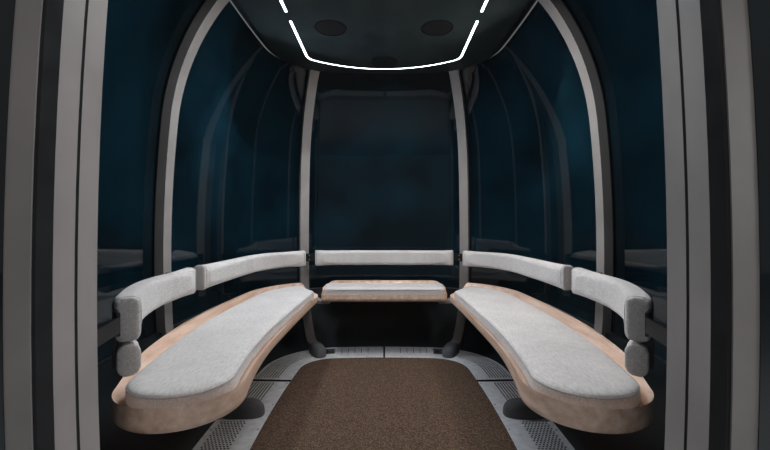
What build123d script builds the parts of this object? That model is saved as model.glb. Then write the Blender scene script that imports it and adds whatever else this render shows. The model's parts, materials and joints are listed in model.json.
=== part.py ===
"""Cable car cabin with its hanger arm and rope grip, as a set of separate pieces.

Origin: on the rope axis, in the middle of the grip.
Axes: +X along the rope, +Y away from the doorway, +Z up. Millimetres.
The cabin is a barrel: one upright wall section, carried round a bowed, rounded
rectangle. Every wall, pane, post and door leaf is a stretch of that section.
"""

import os
from math import asin, atan2, cos, degrees, radians, sin, sqrt

from build123d import *

os.makedirs("parts", exist_ok=True)

# Heights above the cabin floor
ROPE_HEIGHT = 4450
FLOOR_Z = -ROPE_HEIGHT

# Plan of the outer skin at its widest level
HALF_WIDTH = 1130
HALF_DEPTH = 1300
CORNER_R = 780
SIDE_BOW = 15
END_BOW = 15

# Upright section of the skin: tangent arcs, each up to the angle of its normal
BELT_Z = 800
BOWL_R, BOWL_LOW = 600, -76
BELT_R, BELT_LOW, BELT_HIGH = 6500, -3.0, 6.0
SHOULDER_R, SHOULDER_HIGH = 1200, 38
ROOF_R, ROOF_HIGH = 400, 90

# Skin, glass and posts
WALL_T = 30
GLASS_T = 6
GLASS_LOW_Z = 420
GLASS_HIGH_Z = 2130
PANE_GAP = 14
SEAT_GAP = 0.3
MAT_T = 8
POST_WIDTH = 70
POST_DEPTH = 46
POST_SIDE_Y = -90
POST_BACK_ANGLE = 64
FOOT_REACH = 500
FOOT_HEIGHT = 62

# Doorway and its two leaves, which stand wide open at rest
DOORWAY_HALF = 600
JAMB_WIDTH = 70
PORTAL_DEPTH = 110
PORTAL_LOW_Z = -60
PORTAL_HIGH_Z = 2140
DOORWAY_HIGH_Z = 1990
LEAF_GAP = 8
LEAF_T = 40
LEAF_WIDTH = 640
LEAF_STILE = 84
LEAF_RAIL = 105
LEAF_FOOT = 150
LEAF_LOW_Z = -20
LEAF_HIGH_Z = 2015
LEAF_OPEN_X = DOORWAY_HALF - 4
SEAL_T = 7

# Floor, carpet and ceiling, as distances in from the skin
MAT_EDGE = 560
CEILING_EDGE = 362
CEILING_LOW_Z = 2095
CEILING_T = 34
LIGHT_HALF_X = 532
LIGHT_BACK_Y = HALF_DEPTH - 466
LIGHT_BOW_R = 890
LIGHT_CORNER_R = 100
LIGHT_WIDTH = 14
LIGHT_DEPTH = 6
LIGHT_GAP = 90
LIGHT_GAP_Y = 115
SPEAKER_R = 88
SPEAKER_SIDE = (310, 240)
SPEAKER_BACK_Y = LIGHT_BACK_Y - 132

# Benches: a shell with a low front rim and a raised rim along the wall
BENCH_LOW_Z = 401
POCKET_Z = 437
BENCH_RIM_Z = 505
CUSHION_T = 58
BENCH_WALL_GAP = 205
NOSE_X, NOSE_Y, NOSE_R = 605, 475 - HALF_DEPTH, 182
WAIST_X, WAIST_Y = 480, -250
END_X, END_Y = 462, HALF_DEPTH - 600
END_ANGLE = 58
CENTRE_FRONT = (448, HALF_DEPTH - 565)
CENTRE_MIDDLE = (478, HALF_DEPTH - 300)
CENTRE_BACK = (385, HALF_DEPTH - 187)

# Backrest bar and pads, as distances in from the skin
RAIL_OUTER = 192
RAIL_T = 8
RAIL_LOW_Z = 665
RAIL_HEIGHT = 60
PAD_T = 60
PAD_LOW_Z = 630
PAD_HIGH_Z = 752
PAD_GAP = 80
PAD_GAP_SIDE_Y = -165
BAR_TURN_Y = -450
BAR_TURN_R = 1090
BAR_END = 44

# Hanger arm and grip
ROPE_R = 25
JAW_LENGTH = 300
PIVOT_Y = 285
PIVOT_R = 32
ARM_WIDTH = 110
ARM_DEPTH = 130
ARM_BULGE_Y = 390


def section_arcs():
    """Rows of the section: centre (inset, height), radius, low and high angle of the normal."""
    belt = (BELT_R, BELT_Z, BELT_R, BELT_LOW, BELT_HIGH)

    def joined(row, radius, angle, low, high):
        grown = radius - row[2]
        centre_in = row[0] + grown * cos(radians(angle))
        centre_up = row[1] - grown * sin(radians(angle))
        return (centre_in, centre_up, radius, low, high)

    bowl = joined(belt, BOWL_R, BELT_LOW, BOWL_LOW, BELT_LOW)
    shoulder = joined(belt, SHOULDER_R, BELT_HIGH, BELT_HIGH, SHOULDER_HIGH)
    roof = joined(shoulder, ROOF_R, SHOULDER_HIGH, SHOULDER_HIGH, ROOF_HIGH)
    return [bowl, belt, shoulder, roof]


SECTION = section_arcs()


def section_angle(height):
    """Angle of the skin's normal at a height above the floor."""
    for _, centre_up, radius, low, high in SECTION:
        rise = (height - centre_up) / radius
        if sin(radians(low)) - 1e-9 <= rise <= sin(radians(high)) + 1e-9:
            return degrees(asin(max(-1, min(1, rise))))
    raise ValueError("height is off the section")


def section_inset(height, depth=0):
    """How far in from the widest line the skin lies at a height, depth mm under its face."""
    for centre_in, centre_up, radius, low, high in SECTION:
        rise = (height - centre_up) / (radius - depth)
        if sin(radians(low)) - 1e-9 <= rise <= sin(radians(high)) + 1e-9:
            return centre_in - (radius - depth) * sqrt(1 - rise * rise)
    raise ValueError("height is off the section")


def section_point(angle, depth):
    """(inset, height) of a point depth mm under the skin where its normal has that angle."""
    for centre_in, centre_up, radius, low, high in SECTION:
        if low - 1e-9 <= angle <= high + 1e-9:
            reach = radius - depth
            return (
                centre_in - reach * cos(radians(angle)),
                centre_up + reach * sin(radians(angle)),
            )
    raise ValueError("angle is off the section")


ROOF_TOP_Z = section_point(ROOF_HIGH, 0)[1]
ROOF_FLAT = section_point(ROOF_HIGH, 0)[0]
BOWL_LOW_Z = section_point(BOWL_LOW, 0)[1]


def band_lines(low, high, outer, inner, start_x):
    """Closed band of the section between two normals and two depths; x grows outwards."""
    for depth in (outer, inner):
        for centre_in, centre_up, radius, arc_low, arc_high in SECTION:
            a, b = max(low, arc_low), min(high, arc_high)
            if b - a > 1e-6:
                CenterArc((start_x - centre_in, centre_up), radius - depth, a, b - a)
    for angle in (low, high):
        out_in, out_up = section_point(angle, outer)
        in_in, in_up = section_point(angle, inner)
        Line((start_x - out_in, out_up), (start_x - in_in, in_up))


def plan_arcs():
    """Rows of the plan, counter-clockwise: centre x, y, radius, start and end angle."""
    reach_x, reach_y = HALF_WIDTH - CORNER_R, HALF_DEPTH - CORNER_R
    corner_x, corner_y = reach_x - SIDE_BOW, reach_y - END_BOW
    corner_sq = corner_x**2 + corner_y**2
    side_x = (reach_x**2 - corner_sq) / (2 * SIDE_BOW)
    end_y = (reach_y**2 - corner_sq) / (2 * END_BOW)
    side_turn = degrees(atan2(corner_y, corner_x - side_x))
    end_turn = degrees(atan2(corner_y - end_y, corner_x))
    rows = [(side_x, 0, HALF_WIDTH - side_x, -side_turn, side_turn)]
    rows.append((corner_x, corner_y, CORNER_R, side_turn, end_turn))
    rows.append((0, end_y, HALF_DEPTH - end_y, end_turn, 180 - end_turn))
    rows.append((-corner_x, corner_y, CORNER_R, 180 - end_turn, 180 - side_turn))
    rows.append((-side_x, 0, HALF_WIDTH - side_x, 180 - side_turn, 180 + side_turn))
    rows.append((-corner_x, -corner_y, CORNER_R, 180 + side_turn, 180 + end_turn))
    rows.append((0, -end_y, HALF_DEPTH - end_y, 180 + end_turn, 360 - end_turn))
    rows.append((corner_x, -corner_y, CORNER_R, 360 - end_turn, 360 - side_turn))
    return rows


PLAN = plan_arcs()
FULL_TURN = (PLAN[0][3], PLAN[0][3] + 360)


def plan_runs(start, end, rows=PLAN):
    """The stretches of the plan, or of another row of arcs, between two normals."""
    for turn in (-360, 0, 360):
        for x, y, radius, low, high in rows:
            a, b = max(start, low + turn), min(end, high + turn)
            if b - a > 1e-6:
                yield x, y, radius, a, b


def plan_point(angle, inset, rows=PLAN):
    """Point of the plan whose normal has that angle, inset mm in from the widest line."""
    x, y, radius, _, _ = next(plan_runs(angle - 1e-3, angle + 1e-3, rows))
    reach = radius - inset
    return (x + reach * cos(radians(angle)), y + reach * sin(radians(angle)))


def side_angle(y):
    """Angle of the plan's normal at a y on the right side arc."""
    return degrees(asin(y / PLAN[0][2]))


def upright_plane(x, y, angle):
    """Upright plane through a point of the plan; its x points along the angle."""
    a = radians(angle)
    return Plane((x, y, FLOOR_Z), x_dir=(cos(a), sin(a), 0), z_dir=(sin(a), -cos(a), 0))


def radial_plane(angle, rows=PLAN):
    """Upright plane through the plan's normal at an angle; its x points outwards."""
    return upright_plane(*plan_point(angle, 0, rows), angle)


def sweep_band(start, end, low, high, outer, inner):
    """Adds the band of the section, carried round the plan between two angles."""
    for x, y, radius, a, b in plan_runs(start, end):
        with BuildSketch(upright_plane(x, y, a)) as profile:
            with BuildLine():
                band_lines(low, high, outer, inner, radius)
            make_face()
        revolve(profile.sketch, axis=Axis((x, y, 0), (0, 0, 1)), revolution_arc=b - a)


def straight_band(low, high, outer, inner, half_width, centre_x=0, mode=Mode.ADD):
    """Adds the band of the section as a straight run along X at the doorway end."""
    front = Plane((centre_x, 0, FLOOR_Z), x_dir=(0, -1, 0), z_dir=(-1, 0, 0))
    with BuildSketch(front) as profile:
        with BuildLine():
            band_lines(low, high, outer, inner, HALF_DEPTH)
        make_face()
    extrude(profile.sketch, amount=half_width, both=True, mode=mode)


def plan_face(inset, height):
    """Sketch of the plan's outline at an inset, lying at a height above the floor."""
    with BuildSketch(Plane.XY.offset(FLOOR_Z + height)) as outline:
        with BuildLine():
            for x, y, radius, low, high in PLAN:
                CenterArc((x, y), radius - inset, low, high - low)
        make_face()
    return outline.sketch


def block(low, high, mode=Mode.ADD):
    """Adds or cuts a box between two corners; heights are above the floor."""
    size = [b - a for a, b in zip(low, high)]
    middle = [(a + b) / 2 for a, b in zip(low, high)]
    with Locations((middle[0], middle[1], middle[2] + FLOOR_Z)):
        Box(*size, mode=mode)


def save(part, name):
    """Labels a finished piece and writes its file."""
    part.part.label = name
    export_step(part.part, f"parts/{name}.step")


def carry(start, end, inset, height, width, tall, corner):
    """Adds a rounded bar, centred at an inset and a height, carried along the bar's plan."""
    for x, y, radius, a, b in plan_runs(start, end, BAR_PLAN):
        with BuildSketch(upright_plane(x, y, a)) as profile:
            with Locations((radius - inset, height)):
                RectangleRounded(width, tall, corner)
        revolve(profile.sketch, axis=Axis((x, y, 0), (0, 0, 1)), revolution_arc=b - a)


def bar_arcs():
    """The plan for the backrest bar: it leaves the wall's corners for a wider turn in front."""
    turn = side_angle(BAR_TURN_Y)
    x, y = plan_point(turn, BAR_TURN_R)
    rows = [(x, y, BAR_TURN_R, -BAR_END, turn), (*PLAN[0][:3], turn, PLAN[0][4])]
    rows += PLAN[1:4]
    rows.append((*PLAN[4][:3], PLAN[4][3], 180 - turn))
    rows.append((-x, y, BAR_TURN_R, 180 - turn, 180 + BAR_END))
    return rows


BAR_PLAN = bar_arcs()
SIDES = (("left", -1), ("right", 1))
FRONT_EDGE_Y = 410 - HALF_DEPTH
PORTAL_HALF = DOORWAY_HALF + JAMB_WIDTH
FRONT_CUT_LOW = (-PORTAL_HALF - SEAT_GAP, -HALF_DEPTH - LEAF_T, PORTAL_LOW_Z - SEAT_GAP)
FRONT_CUT_HIGH = (PORTAL_HALF + SEAT_GAP, -HALF_DEPTH / 2, PORTAL_HIGH_Z + SEAT_GAP)
SIDE_POST = side_angle(POST_SIDE_Y)
RING_OUTER = section_inset(SEAT_GAP, WALL_T) + SEAT_GAP
ROOF_LOW_Z = GLASS_HIGH_Z + 5


def mirrored_angle(angle):
    """The plan angle on the left that mirrors one on the right."""
    return 180 - angle


# Bottom pan: the lowest stretch of the bowl and its flat bottom
with BuildPart() as bottom_pan:
    sweep_band(*FULL_TURN, BOWL_LOW, section_angle(PORTAL_LOW_Z - 2), 0, WALL_T)
    pan_inner_z = section_point(BOWL_LOW, WALL_T)[1]
    pan_floor = plan_face(section_point(BOWL_LOW, 0)[0], BOWL_LOW_Z)
    extrude(pan_floor, amount=pan_inner_z - BOWL_LOW_Z)
save(bottom_pan, "bottom_pan")

# Floor deck: a thick flat plate that rests in the pan
with BuildPart() as floor_deck:
    deck_low = pan_inner_z + SEAT_GAP
    deck_inset = section_inset(deck_low, WALL_T) + SEAT_GAP
    extrude(plan_face(deck_inset, deck_low), amount=-deck_low)
    sill_low = (-PORTAL_HALF - 1, -HALF_DEPTH, deck_low - 1)
    block(sill_low, (PORTAL_HALF + 1, FRONT_EDGE_Y, 1), Mode.SUBTRACT)
save(floor_deck, "floor_deck")

# Lower wall: three lengths from the pan up to the glass, open at the doorway
JOINT = 0.02
for name, start, end in (
    ("lower_wall_back", POST_BACK_ANGLE, mirrored_angle(POST_BACK_ANGLE)),
    ("lower_wall_left", mirrored_angle(POST_BACK_ANGLE), 270),
    ("lower_wall_right", -90, POST_BACK_ANGLE),
):
    with BuildPart() as lower_wall:
        wall_low, wall_high = section_angle(PORTAL_LOW_Z), section_angle(GLASS_LOW_Z)
        sweep_band(start + JOINT, end - JOINT, wall_low, wall_high, 0, WALL_T)
        block(FRONT_CUT_LOW, FRONT_CUT_HIGH, Mode.SUBTRACT)
    save(lower_wall, name)

# Roof shell
with BuildPart() as roof_shell:
    sweep_band(*FULL_TURN, section_angle(ROOF_LOW_Z), ROOF_HIGH, 0, WALL_T)
    extrude(plan_face(ROOF_FLAT, ROOF_TOP_Z - WALL_T), amount=WALL_T)
    block(FRONT_CUT_LOW, FRONT_CUT_HIGH, Mode.SUBTRACT)
save(roof_shell, "roof_shell")


def half_gap(angle):
    """Half of the joint between two panes, as an angle of the plan at that place."""
    radius = next(plan_runs(angle - 1e-3, angle + 1e-3))[2]
    return degrees(PANE_GAP / 2 / radius)


def build_pane(start, end):
    with BuildPart() as pane:
        low, high = section_angle(GLASS_LOW_Z + 1), section_angle(GLASS_HIGH_Z)
        sweep_band(start, end, low, high, 0, GLASS_T)
        block(FRONT_CUT_LOW, FRONT_CUT_HIGH, Mode.SUBTRACT)
    return pane


# Panes: name, plan angle of the start and of the end; posts stand behind the joints
side_end = SIDE_POST + half_gap(SIDE_POST)
side_start = SIDE_POST - half_gap(SIDE_POST)
back_end = POST_BACK_ANGLE - half_gap(POST_BACK_ANGLE)
back_start = POST_BACK_ANGLE + half_gap(POST_BACK_ANGLE)
FRONT_START = 285
PANES = (
    ("pane_back", back_start, mirrored_angle(back_start)),
    ("pane_back_right", side_end, back_end),
    ("pane_back_left", mirrored_angle(back_end), mirrored_angle(side_end)),
    ("pane_front_right", FRONT_START, 360 + side_start),
    ("pane_front_left", mirrored_angle(side_start), mirrored_angle(FRONT_START) + 360),
)
for name, start, end in PANES:
    save(build_pane(start, end), name)

# Posts: a bar behind each joint, with a foot on the floor and an arm under the bench
GLAZING = 3.5
POST_INNER = GLASS_T + GLAZING + POST_DEPTH
POST_MIDDLE = (WALL_T + GLAZING + POST_INNER) / 2
POST_BASE_Z = MAT_T + SEAT_GAP
ARM_TOP_Z = BENCH_LOW_Z - SEAT_GAP
ARM_REACH = 430
ARM_TIP = 20
ARM_ROOT_Z = 300
POST_TOP = section_angle(GLASS_HIGH_Z) + 5
HEEL_R = 60


def build_post(angle):
    upright = radial_plane(angle)
    low, high = section_angle(GLASS_LOW_Z + 3), section_angle(GLASS_HIGH_Z)
    inner_x = -section_inset(FOOT_HEIGHT, POST_INNER)
    with BuildPart() as post:
        with BuildSketch(upright) as profile:
            for a, b, outer in (
                (BOWL_LOW, low, WALL_T + GLAZING),
                (low, high, GLASS_T + GLAZING),
                (high, POST_TOP, WALL_T + GLAZING),
            ):
                with BuildLine():
                    band_lines(a, b, outer, POST_INNER, 0)
                make_face()
            with BuildLine():
                Polyline(
                    (-FOOT_REACH, POST_BASE_Z),
                    (-section_inset(POST_BASE_Z, WALL_T + GLAZING), POST_BASE_Z),
                    (-section_inset(FOOT_HEIGHT, POST_MIDDLE), FOOT_HEIGHT),
                    (-FOOT_REACH, FOOT_HEIGHT),
                    close=True,
                )
            make_face()
            with BuildLine():
                Polyline(
                    (-section_inset(ARM_ROOT_Z, POST_MIDDLE), ARM_ROOT_Z),
                    (-ARM_REACH, ARM_TOP_Z - ARM_TIP),
                    (-ARM_REACH, ARM_TOP_Z),
                    (-section_inset(ARM_TOP_Z, POST_MIDDLE), ARM_TOP_Z),
                    close=True,
                )
            make_face()
            with Locations((-FOOT_REACH, POST_BASE_Z)):
                Rectangle(3 * FOOT_REACH, FOOT_REACH, align=(Align.CENTER, Align.MAX), mode=Mode.SUBTRACT)
            heel = profile.vertices().sort_by_distance((inner_x, FOOT_HEIGHT, 0))[0]
            toe = profile.vertices().sort_by_distance((-FOOT_REACH, FOOT_HEIGHT, 0))[0]
            fillet(heel, HEEL_R)
            fillet(toe, FOOT_HEIGHT * 0.7)
        extrude(profile.sketch, amount=POST_WIDTH / 2, both=True)
    return post


# A ledge on the arm of each back post carries the end of the centre bench
LEDGE_X = (CENTRE_MIDDLE[0] - 80, CENTRE_MIDDLE[0] + 4)
LEDGE_Y = (CENTRE_FRONT[1] + 55, CENTRE_FRONT[1] + 145)
for side, sign in SIDES:
    for place, right_angle in (("side", SIDE_POST), ("back", POST_BACK_ANGLE)):
        angle = right_angle if sign > 0 else mirrored_angle(right_angle)
        post = build_post(angle)
        if place == "back":
            near, far = sorted(sign * x for x in LEDGE_X)
            with post:
                block((near, LEDGE_Y[0], ARM_TOP_Z - ARM_TIP), (far, LEDGE_Y[1], ARM_TOP_Z))
        save(post, f"post_{place}_{side}")

# Door portal: jambs, header and threshold in one, with a groove for the seal
PORTAL_LOW, PORTAL_HIGH = section_angle(PORTAL_LOW_Z), section_angle(PORTAL_HIGH_Z)
GROOVE_W, GROOVE_D = 8, 6
GROOVE_OUT = PORTAL_DEPTH / 2 - GROOVE_W / 2
with BuildPart() as door_portal:
    straight_band(PORTAL_LOW, PORTAL_HIGH, 0, PORTAL_DEPTH, PORTAL_HALF)
    doorway_high = (DOORWAY_HALF, -HALF_DEPTH / 2, DOORWAY_HIGH_Z)
    block((-DOORWAY_HALF, -HALF_DEPTH - 1, 0), doorway_high, Mode.SUBTRACT)
    groove_low, groove_high = section_angle(30), section_angle(DOORWAY_HIGH_Z - 40)
    groove_in = GROOVE_OUT + GROOVE_W
    groove_half = DOORWAY_HALF + GROOVE_D
    straight_band(groove_low, groove_high, GROOVE_OUT, groove_in, groove_half, 0, Mode.SUBTRACT)
save(door_portal, "door_portal")

# Portal seal: a rubber strip in the groove of each jamb
with BuildPart() as portal_seal:
    strip_out, strip_in = GROOVE_OUT + SEAT_GAP, GROOVE_OUT + GROOVE_W - SEAT_GAP
    strip_half = GROOVE_D / 2 - SEAT_GAP
    for _, sign in SIDES:
        strip_x = sign * (DOORWAY_HALF + GROOVE_D / 2)
        straight_band(groove_low + 0.1, groove_high - 0.1, strip_out, strip_in, strip_half, strip_x)
save(portal_seal, "portal_seal")

# Floor ring plates round the mat, and the mat
SPLIT_ANGLE = side_angle(350)
RING_SPLITS = (
    ("ring_plate_back_left", 90, mirrored_angle(POST_BACK_ANGLE)),
    ("ring_plate_back_right", POST_BACK_ANGLE, 90),
    ("ring_plate_corner_left", mirrored_angle(POST_BACK_ANGLE), mirrored_angle(SPLIT_ANGLE)),
    ("ring_plate_corner_right", SPLIT_ANGLE, POST_BACK_ANGLE),
    ("ring_plate_side_left", mirrored_angle(SPLIT_ANGLE), 270),
    ("ring_plate_side_right", -90, SPLIT_ANGLE),
)
SLOT_OUTER, SLOT_INNER = 345, 465
SHORT_SLOTS, SHORT_SLOT_W = 34, 4
LONG_SLOTS, LONG_SLOT_W = 8, 6
LONG_SLOT_ENDS = {"corner": (side_angle(395), 58), "side": (side_angle(0), side_angle(320))}


def ring_band(start, end, insets, width, mode=Mode.ADD):
    """Adds or cuts flat strips of the floor ring, one at each inset, between two normals."""
    for x, y, radius, a, b in plan_runs(start, end):
        with BuildSketch(upright_plane(x, y, a)) as profile:
            for inset in insets:
                with Locations((radius - inset, SEAT_GAP)):
                    Rectangle(width, MAT_T - SEAT_GAP, align=(Align.CENTER, Align.MIN))
        axis = Axis((x, y, 0), (0, 0, 1))
        revolve(profile.sketch, axis=axis, revolution_arc=b - a, mode=mode)


def cut_short_slots(start, end):
    """Cuts a row of slots square to the plan between two normals."""
    with BuildSketch(Plane.XY.offset(FLOOR_Z)) as slots:
        for index in range(SHORT_SLOTS):
            angle = start + (end - start) * (index + 1) / (SHORT_SLOTS + 1)
            x, y = plan_point(angle, (SLOT_OUTER + SLOT_INNER) / 2)
            with Locations(Location((x, y, 0), (0, 0, angle))):
                SlotOverall(SLOT_INNER - SLOT_OUTER, SHORT_SLOT_W)
    extrude(slots.sketch, amount=MAT_T + 1, mode=Mode.SUBTRACT)


def build_ring_plate(name, start, end):
    with BuildPart() as plate:
        ring_band(start + 0.1, end - 0.1, [(RING_OUTER + MAT_EDGE) / 2], MAT_EDGE - RING_OUTER)
        corner_low = (-PORTAL_HALF - 1, -HALF_DEPTH, -1)
        block(corner_low, (PORTAL_HALF + 1, FRONT_EDGE_Y, MAT_T + 1), Mode.SUBTRACT)
        if "back" in name:
            cut_short_slots(start + 1, end - 1)
        else:
            low, high = LONG_SLOT_ENDS["corner" if "corner" in name else "side"]
            if "left" in name:
                low, high = mirrored_angle(high), mirrored_angle(low)
            pitch = (SLOT_INNER - SLOT_OUTER) / (LONG_SLOTS - 1)
            rows = [SLOT_OUTER + pitch * row for row in range(LONG_SLOTS)]
            ring_band(low, high, rows, LONG_SLOT_W, Mode.SUBTRACT)
    return plate


for name, start, end in RING_SPLITS:
    save(build_ring_plate(name, start, end), name)

with BuildPart() as floor_mat:
    extrude(plan_face(MAT_EDGE + 1, SEAT_GAP), amount=MAT_T - SEAT_GAP)
save(floor_mat, "floor_mat")

# Ceiling panel on four spacers under the roof, with its light groove and speaker seats
CEILING_EDGE_R = 30
NOTCH_GAP = 1
SPEAKER_T = 6
SPACER_R = 30
SPACER_Y = HALF_DEPTH * 0.4
SPACERS = ((-420, -SPACER_Y), (420, -SPACER_Y), (-420, SPACER_Y), (420, SPACER_Y))
SPEAKERS = (
    (-SPEAKER_SIDE[0], SPEAKER_SIDE[1]),
    SPEAKER_SIDE,
    (0, SPEAKER_BACK_Y),
    (-SPEAKER_SIDE[0], -SPEAKER_SIDE[1]),
    (SPEAKER_SIDE[0], -SPEAKER_SIDE[1]),
    (0, -SPEAKER_BACK_Y),
)


def light_ring(inset, thickness, mode=Mode.ADD):
    """Adds or cuts the light line: a ring with straight sides and bowed ends, in dashes."""
    with BuildSketch(Plane.XY.offset(FLOOR_Z + CEILING_LOW_Z)) as line:
        for grown, part_mode in ((-inset, Mode.ADD), (inset - LIGHT_WIDTH, Mode.SUBTRACT)):
            with BuildSketch(mode=Mode.PRIVATE) as outline:
                Rectangle(2 * (LIGHT_HALF_X + grown), 3 * LIGHT_BACK_Y)
                for end in (-1, 1):
                    with Locations((0, end * (LIGHT_BACK_Y - LIGHT_BOW_R))):
                        Circle(LIGHT_BOW_R + grown, mode=Mode.INTERSECT)
                fillet(outline.vertices(), LIGHT_CORNER_R + grown)
            add(outline.sketch, mode=part_mode)
        with GridLocations(2 * LIGHT_HALF_X, 2 * LIGHT_GAP_Y, 2, 2):
            Rectangle(3 * LIGHT_WIDTH, LIGHT_GAP + 2 * inset, mode=Mode.SUBTRACT)
    extrude(line.sketch, amount=thickness, mode=mode)


with BuildPart() as ceiling_panel:
    extrude(plan_face(CEILING_EDGE, CEILING_LOW_Z), amount=CEILING_T)
    fillet(ceiling_panel.faces().sort_by(Axis.Z)[0].edges(), CEILING_EDGE_R)
    notch_low, notch_depth = section_angle(CEILING_LOW_Z - 2 * CEILING_T), POST_INNER + NOTCH_GAP
    for angle in (SIDE_POST, POST_BACK_ANGLE):
        for turned in (angle, mirrored_angle(angle)):
            with BuildSketch(radial_plane(turned)) as notch:
                with BuildLine():
                    band_lines(notch_low, POST_TOP + 2, 0, notch_depth, 0)
                make_face()
            notch_half = POST_WIDTH / 2 + NOTCH_GAP
            extrude(notch.sketch, amount=notch_half, both=True, mode=Mode.SUBTRACT)
    with BuildSketch(Plane.XY.offset(FLOOR_Z + CEILING_LOW_Z + CEILING_T)) as spacers:
        with Locations(*SPACERS):
            Circle(SPACER_R)
    spacer_height = ROOF_TOP_Z - WALL_T - SEAT_GAP - CEILING_LOW_Z - CEILING_T
    extrude(spacers.sketch, amount=spacer_height)
    light_ring(0, LIGHT_DEPTH, Mode.SUBTRACT)
    with BuildSketch(Plane.XY.offset(FLOOR_Z + CEILING_LOW_Z)) as seats:
        with Locations(*SPEAKERS):
            Circle(SPEAKER_R)
    extrude(seats.sketch, amount=SPEAKER_T, mode=Mode.SUBTRACT)
save(ceiling_panel, "ceiling_panel")

with BuildPart() as light_strips:
    light_ring(SEAT_GAP, LIGHT_DEPTH - SEAT_GAP)
save(light_strips, "light_strips")

with BuildPart() as speaker_grilles:
    with BuildSketch(Plane.XY.offset(FLOOR_Z + CEILING_LOW_Z)) as discs:
        with Locations(*SPEAKERS):
            Circle(SPEAKER_R - SEAT_GAP)
    extrude(discs.sketch, amount=SPEAKER_T - SEAT_GAP)
save(speaker_grilles, "speaker_grilles")

# Benches: wooden shells, dished for the cushion so that the wall side rises to a rim
POCKET_GAP = 2
BENCH_EDGE_R = 24
RIM_EDGE_R = 6
CUSHION_EDGE_R = 14
END_CORNER_R = 48
CENTRE_CORNER_R = 24
# Insets of each outline: inner side, wall side, nose, end; front, sides, back
SIDE_CUSHION = (15, 70, 27, 40)
SIDE_DISH_TOP = (-42, 20, -20, -45)
CENTRE_CUSHION = (14, 14, 93)
CENTRE_DISH_TOP = (-42, -42, 20)


def bench_outline(inner, outer, nose, end):
    """Lines of the right side bench, drawn inside its edges by four insets."""
    nose_r = NOSE_R - nose
    side_x = HALF_WIDTH - BENCH_WALL_GAP - outer
    across = side_x - NOSE_X
    side_r = (across**2 + NOSE_Y**2 - nose_r**2) / (2 * (across - nose_r))
    side_turn = degrees(atan2(NOSE_Y, NOSE_X - side_x + side_r))
    waist_x, rise = WAIST_X + inner, WAIST_Y - NOSE_Y
    across = NOSE_X - waist_x
    waist_r = (across**2 + rise**2 - nose_r**2) / (2 * (nose_r - across))
    waist_turn = degrees(atan2(rise, across + waist_r))
    end_x, end_y = END_X + inner, END_Y - end
    across, rise = waist_x - end_x, end_y - WAIST_Y
    end_r = (across**2 + rise**2) / (2 * across)
    CenterArc((waist_x - waist_r, WAIST_Y), waist_r, -waist_turn, waist_turn)
    CenterArc((waist_x - end_r, WAIST_Y), end_r, 0, degrees(atan2(rise, end_r - across)))
    CenterArc((NOSE_X, NOSE_Y), nose_r, 180 - waist_turn, 180 + waist_turn + side_turn)
    CenterArc((side_x - side_r, 0), side_r, side_turn, -side_turn)
    for row in PLAN[:2]:
        reach = row[2] - BENCH_WALL_GAP - outer
        start = max(0, row[3])
        stop = min(row[4], END_ANGLE - degrees(end / reach))
        CenterArc(row[:2], reach, start, stop - start)
        back = (row[0] + reach * cos(radians(stop)), row[1] + reach * sin(radians(stop)))
    Line(back, (end_x, end_y))
    return back, (end_x, end_y)


def side_bench_sketch(height, insets):
    """Outline of the right side bench with its two rounded corners at the end."""
    with BuildSketch(Plane.XY.offset(FLOOR_Z + height)) as outline:
        with BuildLine():
            ends = bench_outline(*insets)
        make_face()
        corners = [outline.vertices().sort_by_distance((*p, 0))[0] for p in ends]
        fillet(corners, END_CORNER_R)
    return outline.sketch


def centre_bench_sketch(height, insets):
    """Outline of the centre bench, drawn inside its edges by three insets."""
    front, side, back = insets
    right = [(CENTRE_FRONT[0] - side, CENTRE_FRONT[1] + front)]
    right.append((CENTRE_MIDDLE[0] - side, CENTRE_MIDDLE[1] - back / 6))
    right.append((CENTRE_BACK[0] + back * 0.45, CENTRE_BACK[1] - back))
    left = [(-x, y) for x, y in reversed(right)]
    with BuildSketch(Plane.XY.offset(FLOOR_Z + height)) as outline:
        with BuildLine():
            Polyline(*right, *left, close=True)
        make_face()
        fillet(outline.vertices(), CENTRE_CORNER_R)
    return outline.sketch


def build_bench(draw, cushion_insets, dish_top):
    """A shell from an outline; a dish that opens upwards is cut round the cushion."""
    with BuildPart() as bench:
        extrude(draw(BENCH_LOW_Z, [0] * len(dish_top)), amount=BENCH_RIM_Z - BENCH_LOW_Z)
        fillet(bench.faces().sort_by(Axis.Z)[0].edges(), BENCH_EDGE_R)
        fillet(bench.faces().sort_by(Axis.Z)[-1].edges(), RIM_EDGE_R)
        floor = draw(POCKET_Z, [inset - POCKET_GAP for inset in cushion_insets])
        loft([floor.face(), draw(BENCH_RIM_Z, dish_top).face()], ruled=True, mode=Mode.SUBTRACT)
    return bench


def build_cushion(outline):
    with BuildPart() as cushion:
        extrude(outline, amount=CUSHION_T)
        fillet(cushion.faces().sort_by(Axis.Z)[-1].edges(), CUSHION_EDGE_R)
    return cushion


CUSHION_Z = POCKET_Z + SEAT_GAP
BENCHES = (
    ("right", side_bench_sketch, SIDE_CUSHION, SIDE_DISH_TOP),
    ("centre", centre_bench_sketch, CENTRE_CUSHION, CENTRE_DISH_TOP),
)
for place, draw, cushion_insets, dish_top in BENCHES:
    shell = build_bench(draw, cushion_insets, dish_top)
    cushion = build_cushion(draw(CUSHION_Z, cushion_insets))
    for piece, name in ((shell, "bench"), (cushion, "cushion")):
        save(piece, f"{name}_{place}")
        if place == "right":
            with BuildPart() as opposite:
                mirror(piece.part, about=Plane.YZ, mode=Mode.ADD)
            save(opposite, f"{name}_left")

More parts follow.
